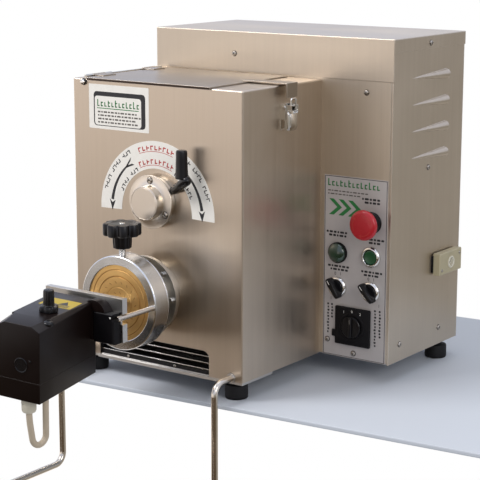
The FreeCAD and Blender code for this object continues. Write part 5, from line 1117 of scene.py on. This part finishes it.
class PASTA_OT_control_plate(bpy.types.Operator):
    """Finish the control plate and print its lines, marks and numbers"""
    bl_idname = "pasta.control_plate"
    bl_label = "Control plate"

    def execute(self, context):
        coat_node("control_plate", "face")
        form = Form("plate.printing").of(finish("ink_and_shade"))
        low, high, left, right = 27.0, 278.0, 92.0, 191.0
        lift = PLATE_Y - 0.02

        def line(x, z, width, height, color="ink_and_shade"):
            form.of(finish(color))
            form.plate(rounded(width, height, min(width, height) * 0.3, 2), 0.08, on("front", x, lift, z))

        for x in (left + 1.2, right - 1.2):
            line(x, (low + high) / 2, 0.8, high - low - 2)
        for z in (low + 1.2, high - 1.2):
            line((left + right) / 2, z, right - left - 2, 0.8)
        title_marks(lambda x, z, wide, tall: line(x, z, wide, tall, "green_ink"), 97.5, 263.6, 1.55, 13)
        for row, low_z in enumerate((257.2, 252.8)):
            row_marks(lambda x, wide: line(x, low_z, wide, 1.7, "grey_ink"), 97.5, 160 - row * 14, row)
        form.of(finish("green_ink"))
        for step in range(3):
            form.plate([(0, -11), (13, 0), (0, 11), (-7.5, 11), (5.5, 0), (-7.5, -11)], 0.08,
                       on("front", 107 + step * 15, lift, 235))
        for x, z, half in ((165.5, 250.5, 14), (113, 200.5, 17), (171, 196.5, 12), (115, 153.5, 16),
                           (168, 151.5, 16)):
            for row in range(2):
                reach = half - row * 4
                row_marks(lambda at, wide: line(at, z - row * 4.6, wide, 2.9), x - reach, x + reach,
                          row + round(x))
        for text, x, z in (("0   1", 115, 142.8), ("0   1", 167.5, 141.6), ("1", 104.5, 107.5),
                           ("1", 180.5, 106.5)):
            form.of(finish("ink_and_shade"))
            form.words(text, 6.2, on("front", x, lift, z))
        for x, first, count in ((100.0, 99, 10), (106.2, 99, 5), (174.6, 99, 12), (182.0, 99, 9)):
            for step in range(count):
                line(x + (step % 3) * 0.3, first - step * 4.4, (3.0, 2.2, 3.4, 2.6)[step % 4], 2.9)
        form.done("case", finish="black_gloss")
        return {"FINISHED"}


class PASTA_OT_bezels(bpy.types.Operator):
    """Turn the chrome bezels, the stop button's collar and the lamp"""
    bl_idname = "pasta.bezels"
    bl_label = "Bezels and lamp"

    def execute(self, context):
        form = Form("bezels.chrome").of(finish("polished"))
        for x, z in ((167.5, 172.5), (115, 124.5), (167.5, 124.5)):
            form.of(finish("polished"))
            form.turned([(14.5, 0), (14.5, 1.6), (14.0, 3.2), (12.6, 4.6), (11.6, 5.0), (10.9, 4.9),
                         (10.4, 4.2), (10.3, 0)],
                        on("front", x, PLATE_Y, z))
            form.of(finish("matt_black"))
            form.turned([(10.3, 0.4), (10.3, -34), (11.2, -34), (11.2, 0)], on("front", x, PLATE_Y, z),
                        steps=40)
        form.done("case", "control_bezels", finish="polished_steel")
        collar = Form("collar.stop").of(finish("black"))
        collar.turned([(11.2, -34), (11.2, 0), (14.8, 0), (14.8, 1.2), (13.9, 1.8), (13.9, 9.4),
                       (13.2, 11.4), (12.0, 12.0), (7.6, 12.0),
                       (7.6, -34)], on("front", 167.5, PLATE_Y, 219.5))
        collar.done("case", "stop_collar", finish="black_gloss")
        lamp = Form("lamp.power").of(finish("matt_black"))
        lamp.turned([(0, -34), (11.2, -34), (11.2, 0), (14.4, 0), (14.4, 3.2), (13.9, 4.0), (13.2, 4.0)],
                    on("front", 115, PLATE_Y, 172.5))
        lamp.of(finish("lamp"))
        dome = [(13.2, 3.4)]
        for step in range(10):
            angle = math.radians(90 * step / 9)
            dome.append((13.2 * math.cos(angle), 4.0 + 6.0 * math.sin(angle)))
        lamp.turned(dome, on("front", 115, PLATE_Y, 172.5))
        lamp.done("case", "power_lamp", finish="green_plastic")
        return {"FINISHED"}


class PASTA_OT_buttons(bpy.types.Operator):
    """Shape the start button, the emergency stop and the two selectors"""
    bl_idname = "pasta.buttons"
    bl_label = "Buttons and selectors"

    def execute(self, context):
        start = Form("button.start").of(finish("green"))
        start.turned([(0, -14), (9.6, -14), (9.6, 2.6), (9.2, 3.6), (8.2, 4.0), (6.8, 3.7), (0, 3.2)],
                     on("front", 167.5, PLATE_Y, 172.5))
        start.done("start_button", "start_button", finish="green_plastic")
        stop = Form("button.stop").of(finish("red"))
        place = on("front", 167.5, PLATE_Y, 219.5)
        stop.turned([(0, 18.2), (17.2, 18.2), (19.2, 18.8), (20.3, 20.4), (20.5, 22.2), (20.1, 24.2),
                     (18.9, 25.8), (16.6, 26.7), (10.0, 27.0), (0, 27.0)], place, steps=96)
        stop.of(finish("matt_black"))
        stop.turned([(0, -8), (7.4, -8), (7.4, 18.4), (0, 18.4)], place, steps=40)
        stop.of(finish("red_ink"))
        for step in range(3):
            at = place @ Matrix.Rotation(math.radians(120 * step + 30), 4, "Z")
            stop.plate(band(13.3, 14.5, 0, 62, 14), 0.06, at @ Matrix.Translation((0, 0, 26.93)))
            stop.plate([(16.4, -0.4), (13.9, -4.6), (11.4, -0.4)], 0.06,
                       at @ Matrix.Translation((0, 0, 26.93)))
        stop.done("stop_button", "stop_button", finish="red_plastic")
        for name, x, turn in (("selector_left", 115.0, 55), ("selector_right", 167.5, 48)):
            form = Form("selector." + name[9:]).of(finish("black"))
            base = on("front", x, PLATE_Y, 124.5)
            form.turned([(0, -14), (9.8, -14), (9.8, 5.4), (9.3, 6.0), (0, 6.0)], base, steps=56)
            handle = base @ Matrix.Rotation(math.radians(-turn), 4, "Z")
            outline = [(-15.1, -1.6), (-13.5, -3.2), (-6, -3.5), (10, -3.5), (14.2, -2.6), (15.1, -1.2),
                       (15.1, 1.2), (14.2, 2.6), (10, 3.5), (-6, 3.5), (-13.5, 3.2), (-15.1, 1.6)]
            form.plate(outline, 11, handle @ Matrix.Translation((0, 0, 5.3)), edge=1.1)
            form.of(finish("white_ink_and_glint"))
            form.plate(rounded(6.5, 1.0, 0.4, 2), 0.1, handle @ Matrix.Translation((-9.5, 0, 16.28)))
            form.done(name, name, finish="black_plastic")
        return {"FINISHED"}


class PASTA_OT_main_switch(bpy.types.Operator):
    """Mould the square main switch, its dial and its plain position numbers"""
    bl_idname = "pasta.main_switch"
    bl_label = "Main switch"

    def execute(self, context):
        x, z = 141.0, 72.5
        form = Form("switch.main").of(finish("matt_black"))
        form.box((x - 27.5, PLATE_Y - 4.5, z - 26.5), (x + 27.5, PLATE_Y, z + 26.5), edge=1.4, steps=3)
        form.box((x - 33.4, PLATE_Y - 3.0, z - 17.5), (x - 26.5, PLATE_Y, z - 7.5), edge=1.2, steps=3)
        form.box((x - 20.5, PLATE_Y - 1.0, z - 19.5), (x + 20.5, SEAM + 44, z + 19.5), edge=1.0)
        form.turned([(19.5, 4.2), (19.5, 4.9), (18.9, 5.3), (16.2, 5.3), (15.9, 4.6), (15.7, 4.4),
                     (0, 4.4)],
                    on("front", x, PLATE_Y, z))
        form.of(finish("white_ink_and_glint"))
        for text, dx, dz in (("1", -13.0, 19.5), ("0", 0.0, 21.3), ("2", 13.0, 19.5)):
            form.words(text, 5.2, on("front", x + dx, PLATE_Y - 4.5, z + dz))
        form.done("case", "main_switch", finish="black_plastic")
        dial = Form("switch.dial").of(finish("black"))
        place = on("front", x, PLATE_Y, z)
        dial.turned([(0, 4.9), (14.6, 4.9), (15.0, 5.3), (14.9, 7.7), (14.3, 8.4), (0, 8.4)], place)
        dial.box((-2.6, -14, 8.0), (2.6, 14, 11.0), edge=0.9, steps=3, at=place)
        dial.turned([(0, -11.5), (5, -11.5), (5, 5)], place, steps=32)
        dial.of(finish("grey_ink"))
        dial.plate(rounded(1.1, 7.0, 0.4, 2), 0.1, place @ Matrix.Translation((0, 8.2, 10.97)))
        dial.done("main_dial", "main_dial", finish="black_plastic")
        return {"FINISHED"}


class PASTA_OT_outlets(bpy.types.Operator):
    """Mould the cutter's outlet on the side wall and the mains inlet at the back"""
    bl_idname = "pasta.outlets"
    bl_label = "Cutter outlet and mains inlet"

    def execute(self, context):
        wall, y, z = RIGHT - COVER_THICK, BACK - 47.5, 145.5
        form = Form("outlet.cutter").of(finish("matt_black"))
        form.box((wall, y - 33.5, z - 11.5), (wall + 2.6, y + 28.5, z + 11.5), edge=0.5)
        form.of(finish("beige"))
        place = on("right", wall + 2.5, y, z)
        shell = plate_with_hole(63, 31, 3.0, 6.6, 10.5)
        form.add(shell, place)
        form.of(finish("rim"))
        form.turned([(6.0, 2.2), (6.0, 11.2), (6.5, 12.0), (8.0, 12.0), (8.5, 11.4), (8.5, 10.2)], place)
        # A dark disc at the bottom of the socket's hole: painted shade.
        form.of(finish("hole"))
        form.turned([(6.1, 2.4), (0, 2.4)], place, steps=40)
        form.of(finish("polished"))
        for step in range(3):
            around = Matrix.Rotation(math.radians(120 * step + 90), 4, "Z")
            at = place @ around @ Matrix.Translation((3.0, 0, 2.4))
            form.turned([(0.8, 0), (0.8, 5.6), (0.45, 6.3), (0, 6.4)], at, steps=16)
        for side in (-1, 1):
            cross_screw(form, place @ Matrix.Translation((side * 25, side * 9, 10.4)), 2.3, 1.0)
        form.done("case", "side_socket", finish="beige_plastic")
        coat_node("mains_inlet", "matt_black")
        screws = Form("screws.inlet")
        for x in (-150.5, -89.5):
            cross_screw(screws, on("back", x, BACK - COVER_THICK, 97), 2.4, 1.3)
        screws.done("case", finish="polished_steel")
        return {"FINISHED"}


def plate_with_hole(width, height, edge, hole, thick, steps=48):
    """A moulded box face with a round hole through it, from z = 0 up to thick."""
    shape = bmesh.new()
    outline = []
    half_w, half_h = width / 2, height / 2
    for step in range(steps):
        angle = 2 * math.pi * (step + 0.5) / steps
        c, s = math.cos(angle), math.sin(angle)
        scale = min(half_w / max(abs(c), 1e-6), half_h / max(abs(s), 1e-6))
        outline.append((c * scale, s * scale))
    corners = ((half_w, half_h), (-half_w, half_h), (-half_w, -half_h), (half_w, -half_h))
    for corner in corners:
        nearest = min(range(steps), key=lambda k: math.dist(outline[k], corner))
        outline[nearest] = corner
    turns = [2 * math.pi * (k + 0.5) / steps for k in range(steps)]
    inner = [(hole * math.cos(angle), hole * math.sin(angle)) for angle in turns]
    bevel = 1.2
    soft = [(x * (1 - bevel / half_w), y * (1 - bevel / half_h)) for x, y in outline]
    levels = ((inner, 0.0), (outline, 0.0), (outline, thick - bevel), (soft, thick), (inner, thick),
              (inner, 0.0))
    rings = [[shape.verts.new((x, y, h)) for x, y in ring] for ring, h in levels]
    for low, high in zip(rings, rings[1:]):
        for k in range(steps):
            after = (k + 1) % steps
            shape.faces.new((low[k], low[after], high[after], high[k]))
    bmesh.ops.remove_doubles(shape, verts=shape.verts, dist=0.001)
    return shape


class PASTA_OT_cutter_body(bpy.types.Operator):
    """Shape the cutter's motor housing, its lid seam, round plug and mounting block"""
    bl_idname = "pasta.cutter_body"
    bl_label = "Cutter housing"

    def execute(self, context):
        form = Form("cutter.housing", HOUSING).of(finish("housing"))
        width, length, height = HOUSING_SIZE
        form.add(housing_loft(0, HOUSING_STEP, (12, 6.5), (9.38, 5.08), (12, 6.5), (4, 2.2)))
        form.add(housing_loft(HOUSING_STEP, length, (9.38, 5.08), (2, 1.08), (0, 0), (0, 0)))
        form.box((-width - 0.12, -0.12, 25.1), (0.12, length, 25.8), edge=0.1, steps=1)
        form.of(finish("yellow_film"))
        form.plate(rounded(46, 29, 1.0), 0.12, Matrix.Translation((-30.5, 91, height)))
        form.of(finish("ink_and_shade"))
        form.plate([(-7, -6), (7, -6), (0, 6.4)], INK_THICK, Matrix.Translation((-24, 93, height + 0.12)))
        for step in range(3):
            row = Matrix.Translation((-28, 79.4 + step * 3.0, height + 0.12))
            form.plate(rounded(30, 1.6, 0.5), INK_THICK, row)
        form.of(finish("black"))
        front = Matrix(((1, 0, 0, -26.5), (0, 0, -1, 0), (0, 1, 0, 46), (0, 0, 0, 1)))
        form.turned([(9.4, 0), (9.4, 0.5), (8.8, 0.9), (8.2, 0.5), (0, 0.5)], front, steps=48)
        form.turned(knob_profile(1.6, 0.9, 0.6), front @ Matrix.Translation((13.0, 6.5, 0)), steps=20)
        form.done("cutter", "cutter_housing", finish="brown_black")
        coat_node("cutter_mount", "housing")
        coat_node("cutter_plate", "plain")
        # A small white dot on the clamp's front: a painted highlight of its rounded corner.
        clamp = Form("cutter.clamp_painted_glint").of(finish("white_ink_and_glint"))
        clamp.turned(knob_profile(1.3, 0.4, 0.2), on("front", -4.6, FRONT - 156.0, 133))
        clamp.done("cutter", finish="black_plastic")
        coat_node("cutter_clamp", "matt_black")
        return {"FINISHED"}


def housing_loft(start, end, right_start, right_end, left_start, left_end):
    """A length of the motor housing; each bevel is its width and drop at the start and at the end."""
    width, length, height = HOUSING_SIZE
    shape = bmesh.new()
    rings = []
    for y, right, left in ((start, right_start, left_start), (end, right_end, left_end)):
        ring = [(0, 0), (0, height - right[1]), (-right[0], height)]
        if left_start[0]:
            ring += [(-width + left[0], height), (-width, height - left[1])]
        else:
            ring.append((-width, height))
        rings.append([shape.verts.new((x, y, z)) for x, z in ring + [(-width, 0)]])
    shape.faces.new(rings[0])
    shape.faces.new(rings[1])
    count = len(rings[0])
    for k in range(count):
        after = (k + 1) % count
        shape.faces.new((rings[0][k], rings[0][after], rings[1][after], rings[1][k]))
    outer = [edge for edge in shape.edges if any(abs(vert.co.y - HOUSING_STEP) > 1 for vert in edge.verts)]
    bmesh.ops.bevel(shape, geom=outer, offset=0.7, segments=3, profile=0.5, affect="EDGES")
    return shape


class PASTA_OT_cutter_knobs(bpy.types.Operator):
    """Shape the cutter's speed knob, push cap and gland"""
    bl_idname = "pasta.cutter_knobs"
    bl_label = "Cutter knobs and gland"

    def execute(self, context):
        form = Form("cutter.speed_knob", HOUSING).of(finish("black"))
        place = Matrix.Translation((-26.3, 59.3, HOUSING_SIZE[2] + 0.3))

        def fluted(angle, radius):
            if radius > 9:
                return radius - 2.0 * (0.5 - 0.5 * math.cos(6 * angle)) ** 2
            return radius - (0.4 * (0.5 + 0.5 * math.cos(14 * angle)) if 4 < radius < 7.4 else 0.0)

        form.turned([(0, 0), (12.0, 0), (12.4, 0.5), (12.3, 5.6), (11.5, 7.0), (9.6, 7.5), (7.6, 7.6),
                     (7.2, 8.2), (7.1, 10.0), (6.7, 25.2), (6.2, 26.8), (5.0, 27.3), (0, 27.3)],
                    place, steps=144, scallop=fluted)
        form.of(finish("white_ink_and_glint"))
        form.plate(rounded(0.8, 5.2, 0.3, 2), 0.1, place @ Matrix.Translation((0, 2.6, 27.2)))
        form.done("speed_knob", "speed_knob", finish="black_plastic")
        cap = Form("cutter.push_cap", HOUSING).of(finish("black"))
        place = Matrix.Translation((-5.8, 27.5, 92.0))
        dome = [(0, -9.5), (3, -9.5), (3, 0), (6.2, 0.1), (6.6, 0.6), (6.6, 2.6)]
        for step in range(1, 8):
            angle = math.radians(90 * step / 7)
            dome.append((6.6 * math.cos(angle), 2.6 + 3.4 * math.sin(angle)))
        cap.turned(dome, place, steps=48)
        cap.done("push_cap", "push_cap", finish="black_gloss")
        gland = Form("cutter.gland", HOUSING).of(finish("nylon"))
        under = Matrix.Translation((-24.7, 13.3, 0)) @ FACES["down"]

        def flats(angle, radius):
            if radius < 7:
                return radius
            return radius / max(0.93, math.cos((angle % (math.pi / 3)) - math.pi / 6))

        def ribbed(angle, radius):
            return radius - (0.35 * (0.5 + 0.5 * math.cos(18 * angle)) if radius > 8.9 else 0)

        gland.turned([(9.2, 0), (9.2, 6.4), (8.6, 6.8)], under, steps=96, scallop=flats)
        gland.turned([(8.6, 6.8), (9.0, 7.4), (9.2, 8.6), (9.1, 15.6), (8.2, 17.8), (6.4, 19.0), (4.2, 19.0),
                      (4.1, 16.0)], under, steps=72, scallop=ribbed)
        gland.done("cutter", "lead_gland", finish="white_plastic")
        return {"FINISHED"}


class PASTA_OT_stage(bpy.types.Operator):
    """Set the pale counter, the lamps, the world and the camera"""
    bl_idname = "pasta.stage"
    bl_label = "Stage, lamps and camera"

    def execute(self, context):
        scene = context.scene
        scene.view_settings.view_transform = "Standard"
        counter = bpy.data.meshes.new("counter")
        shape = box_shape((-218, -212, -6), (2400, 372, 0), 1.5, 2)
        bmesh.ops.rotate(shape, cent=(67, -214, 0), matrix=Matrix.Rotation(math.radians(4.6), 3, "Z"),
                         verts=shape.verts)
        bmesh.ops.scale(shape, vec=(0.001,) * 3, verts=shape.verts)
        shape.to_mesh(counter)
        shape.free()
        counter.materials.append(counter_paint())
        slab = bpy.data.objects.new("stage.counter", counter)
        scene.collection.objects.link(slab)
        make_world(scene)
        for name, spot, aim, size, power, color in (
                ("lamp.key", (-1.3, -1.6, 2.2), (0, 0, 0.2), 1.3, 52, (1.0, 0.97, 0.93)),
                ("lamp.right", (2.1, -1.1, 1.2), (0.1, 0, 0.2), 1.2, 14, (1.0, 0.95, 0.87)),
                ("lamp.top", (0.2, 0.3, 2.2), (0, 0, 0), 1.6, 9, (0.93, 0.97, 1.0))):
            light = bpy.data.lights.new(name, "AREA")
            light.shape = "DISK"
            light.size = size
            light.energy = power
            light.color = color
            lamp = bpy.data.objects.new(name, light)
            lamp.location = spot
            lamp.rotation_mode = "QUATERNION"
            lamp.rotation_quaternion = (Vector(aim) - Vector(spot)).to_track_quat("-Z", "Y")
            scene.collection.objects.link(lamp)
        make_camera(scene)
        return {"FINISHED"}


def counter_paint():
    """Pale blue-grey counter with a faint mottle."""
    material, nodes, links, shader = blank("Counter pale paint", Specular_IOR_Level=0.3)
    cloud = effect(nodes, "Hand smudges", Scale=1.5)
    links.new(tone(nodes, links, cloud.outputs["Cloud"], (0.60, 0.65, 0.75, 1), (0.65, 0.70, 0.80, 1)),
              shader.inputs["Base Color"])
    links.new(between(nodes, links, cloud.outputs["Cloud"], 0.55, 0.7), shader.inputs["Roughness"])
    return material


def make_world(scene):
    """Soft pale surroundings, white to the camera; metal sees a bright left wall and a dark front floor."""
    world = bpy.data.worlds.new("Studio")
    scene.world = world
    world.use_nodes = True
    nodes, links = world.node_tree.nodes, world.node_tree.links
    background = nodes["Background"]
    path = nodes.new("ShaderNodeLightPath")
    way = nodes.new("ShaderNodeTexCoord")
    axes = nodes.new("ShaderNodeSeparateXYZ")
    links.new(way.outputs["Generated"], axes.inputs[0])

    def ramp(axis, low, high):
        """0 where the direction's axis value is at low, 1 at high."""
        span = nodes.new("ShaderNodeMapRange")
        span.interpolation_type = "SMOOTHSTEP"
        span.inputs["From Min"].default_value = min(low, high)
        span.inputs["From Max"].default_value = max(low, high)
        if low > high:
            span.inputs["To Min"].default_value, span.inputs["To Max"].default_value = 1.0, 0.0
        links.new(axes.outputs[axis], span.inputs["Value"])
        return span.outputs["Result"]

    def blend(amount, first, second):
        node = nodes.new("ShaderNodeMix")
        node.data_type = "RGBA"
        links.new(amount, node.inputs[0])
        for socket, value in ((node.inputs[6], first), (node.inputs[7], second)):
            if isinstance(value, tuple):
                socket.default_value = value + (1,)
            else:
                links.new(value, socket)
        return node.outputs[2]

    wall = blend(ramp("X", 0.25, -0.25), (0.40, 0.38, 0.35), (1.36, 1.27, 1.22))
    wall = blend(ramp("Z", -0.02, 0.12), wall, (0.78, 0.84, 1.02))
    below = math_node(nodes, "MULTIPLY")
    links.new(ramp("Z", -0.175, -0.225), below.inputs[0])
    links.new(ramp("Y", 0.3, -0.3), below.inputs[1])
    mirrored = blend(below.outputs[0], wall, (0.10, 0.065, 0.035))
    seen = math_node(nodes, "MAXIMUM")
    links.new(path.outputs["Is Camera Ray"], seen.inputs[0])
    links.new(path.outputs["Is Transmission Ray"], seen.inputs[1])
    level = blend(seen.outputs[0], (0.40, 0.40, 0.40), (1.0, 1.0, 1.0))
    links.new(blend(path.outputs["Is Glossy Ray"], level, mirrored), background.inputs["Color"])


def make_camera(scene):
    """The photograph's viewing angle."""
    yaw, pitch, roll = (math.radians(a) for a in (35.766, 11.760, 0.054))
    right = Vector((math.cos(yaw), math.sin(yaw), 0))
    ahead = Vector((-math.sin(yaw) * math.cos(pitch), math.cos(yaw) * math.cos(pitch), -math.sin(pitch)))
    up = right.cross(ahead)
    side = right * math.cos(roll) + up * math.sin(roll)
    top = up * math.cos(roll) - right * math.sin(roll)
    data = bpy.data.cameras.new("camera")
    data.lens = trim_of().camera_lens
    data.sensor_width = 36
    camera = bpy.data.objects.new("camera", data)
    camera.matrix_world = Matrix((
        (side.x, top.x, -ahead.x, 1.2205), (side.y, top.y, -ahead.y, -1.7700),
        (side.z, top.z, -ahead.z, 0.6219), (0, 0, 0, 1)))
    scene.collection.objects.link(camera)
    scene.camera = camera


class PASTA_PT_panel(bpy.types.Panel):
    """The machine's pieces and finishes"""
    bl_idname = "PASTA_PT_panel"
    bl_label = "Pasta maker"
    bl_space_type = "VIEW_3D"
    bl_region_type = "UI"
    bl_category = "Pasta maker"

    def draw(self, context):
        column = self.layout.column()
        for owner in (context.scene.pasta_finish, context.scene.pasta_trim):
            for name in owner.__annotations__:
                column.prop(owner, name)
        for operator in OPERATORS:
            column.operator(operator.bl_idname)


OPERATORS = (PASTA_OT_case, PASTA_OT_feet, PASTA_OT_case_screws, PASTA_OT_latch, PASTA_OT_hub,
             PASTA_OT_mode_lever,
             PASTA_OT_extruder, PASTA_OT_labels, PASTA_OT_air_outlet, PASTA_OT_control_plate,
             PASTA_OT_bezels,
             PASTA_OT_buttons, PASTA_OT_main_switch, PASTA_OT_outlets, PASTA_OT_cutter_body,
             PASTA_OT_cutter_knobs,
             PASTA_OT_stage)
CLASSES = (PASTA_PG_finish, PASTA_PG_trim) + OPERATORS + (PASTA_PT_panel,)


def register():
    for kind in CLASSES:
        bpy.utils.register_class(kind)
    bpy.types.Scene.pasta_finish = PointerProperty(type=PASTA_PG_finish)
    bpy.types.Scene.pasta_trim = PointerProperty(type=PASTA_PG_trim)


def unregister():
    del bpy.types.Scene.pasta_trim
    del bpy.types.Scene.pasta_finish
    for kind in reversed(CLASSES):
        bpy.utils.unregister_class(kind)


def main():
    register()
    for operator in OPERATORS:
        group, name = operator.bl_idname.split(".")
        if getattr(getattr(bpy.ops, group), name)() != {"FINISHED"}:
            raise RuntimeError("not finished: " + operator.bl_idname)


if __name__ == "__main__":
    main()
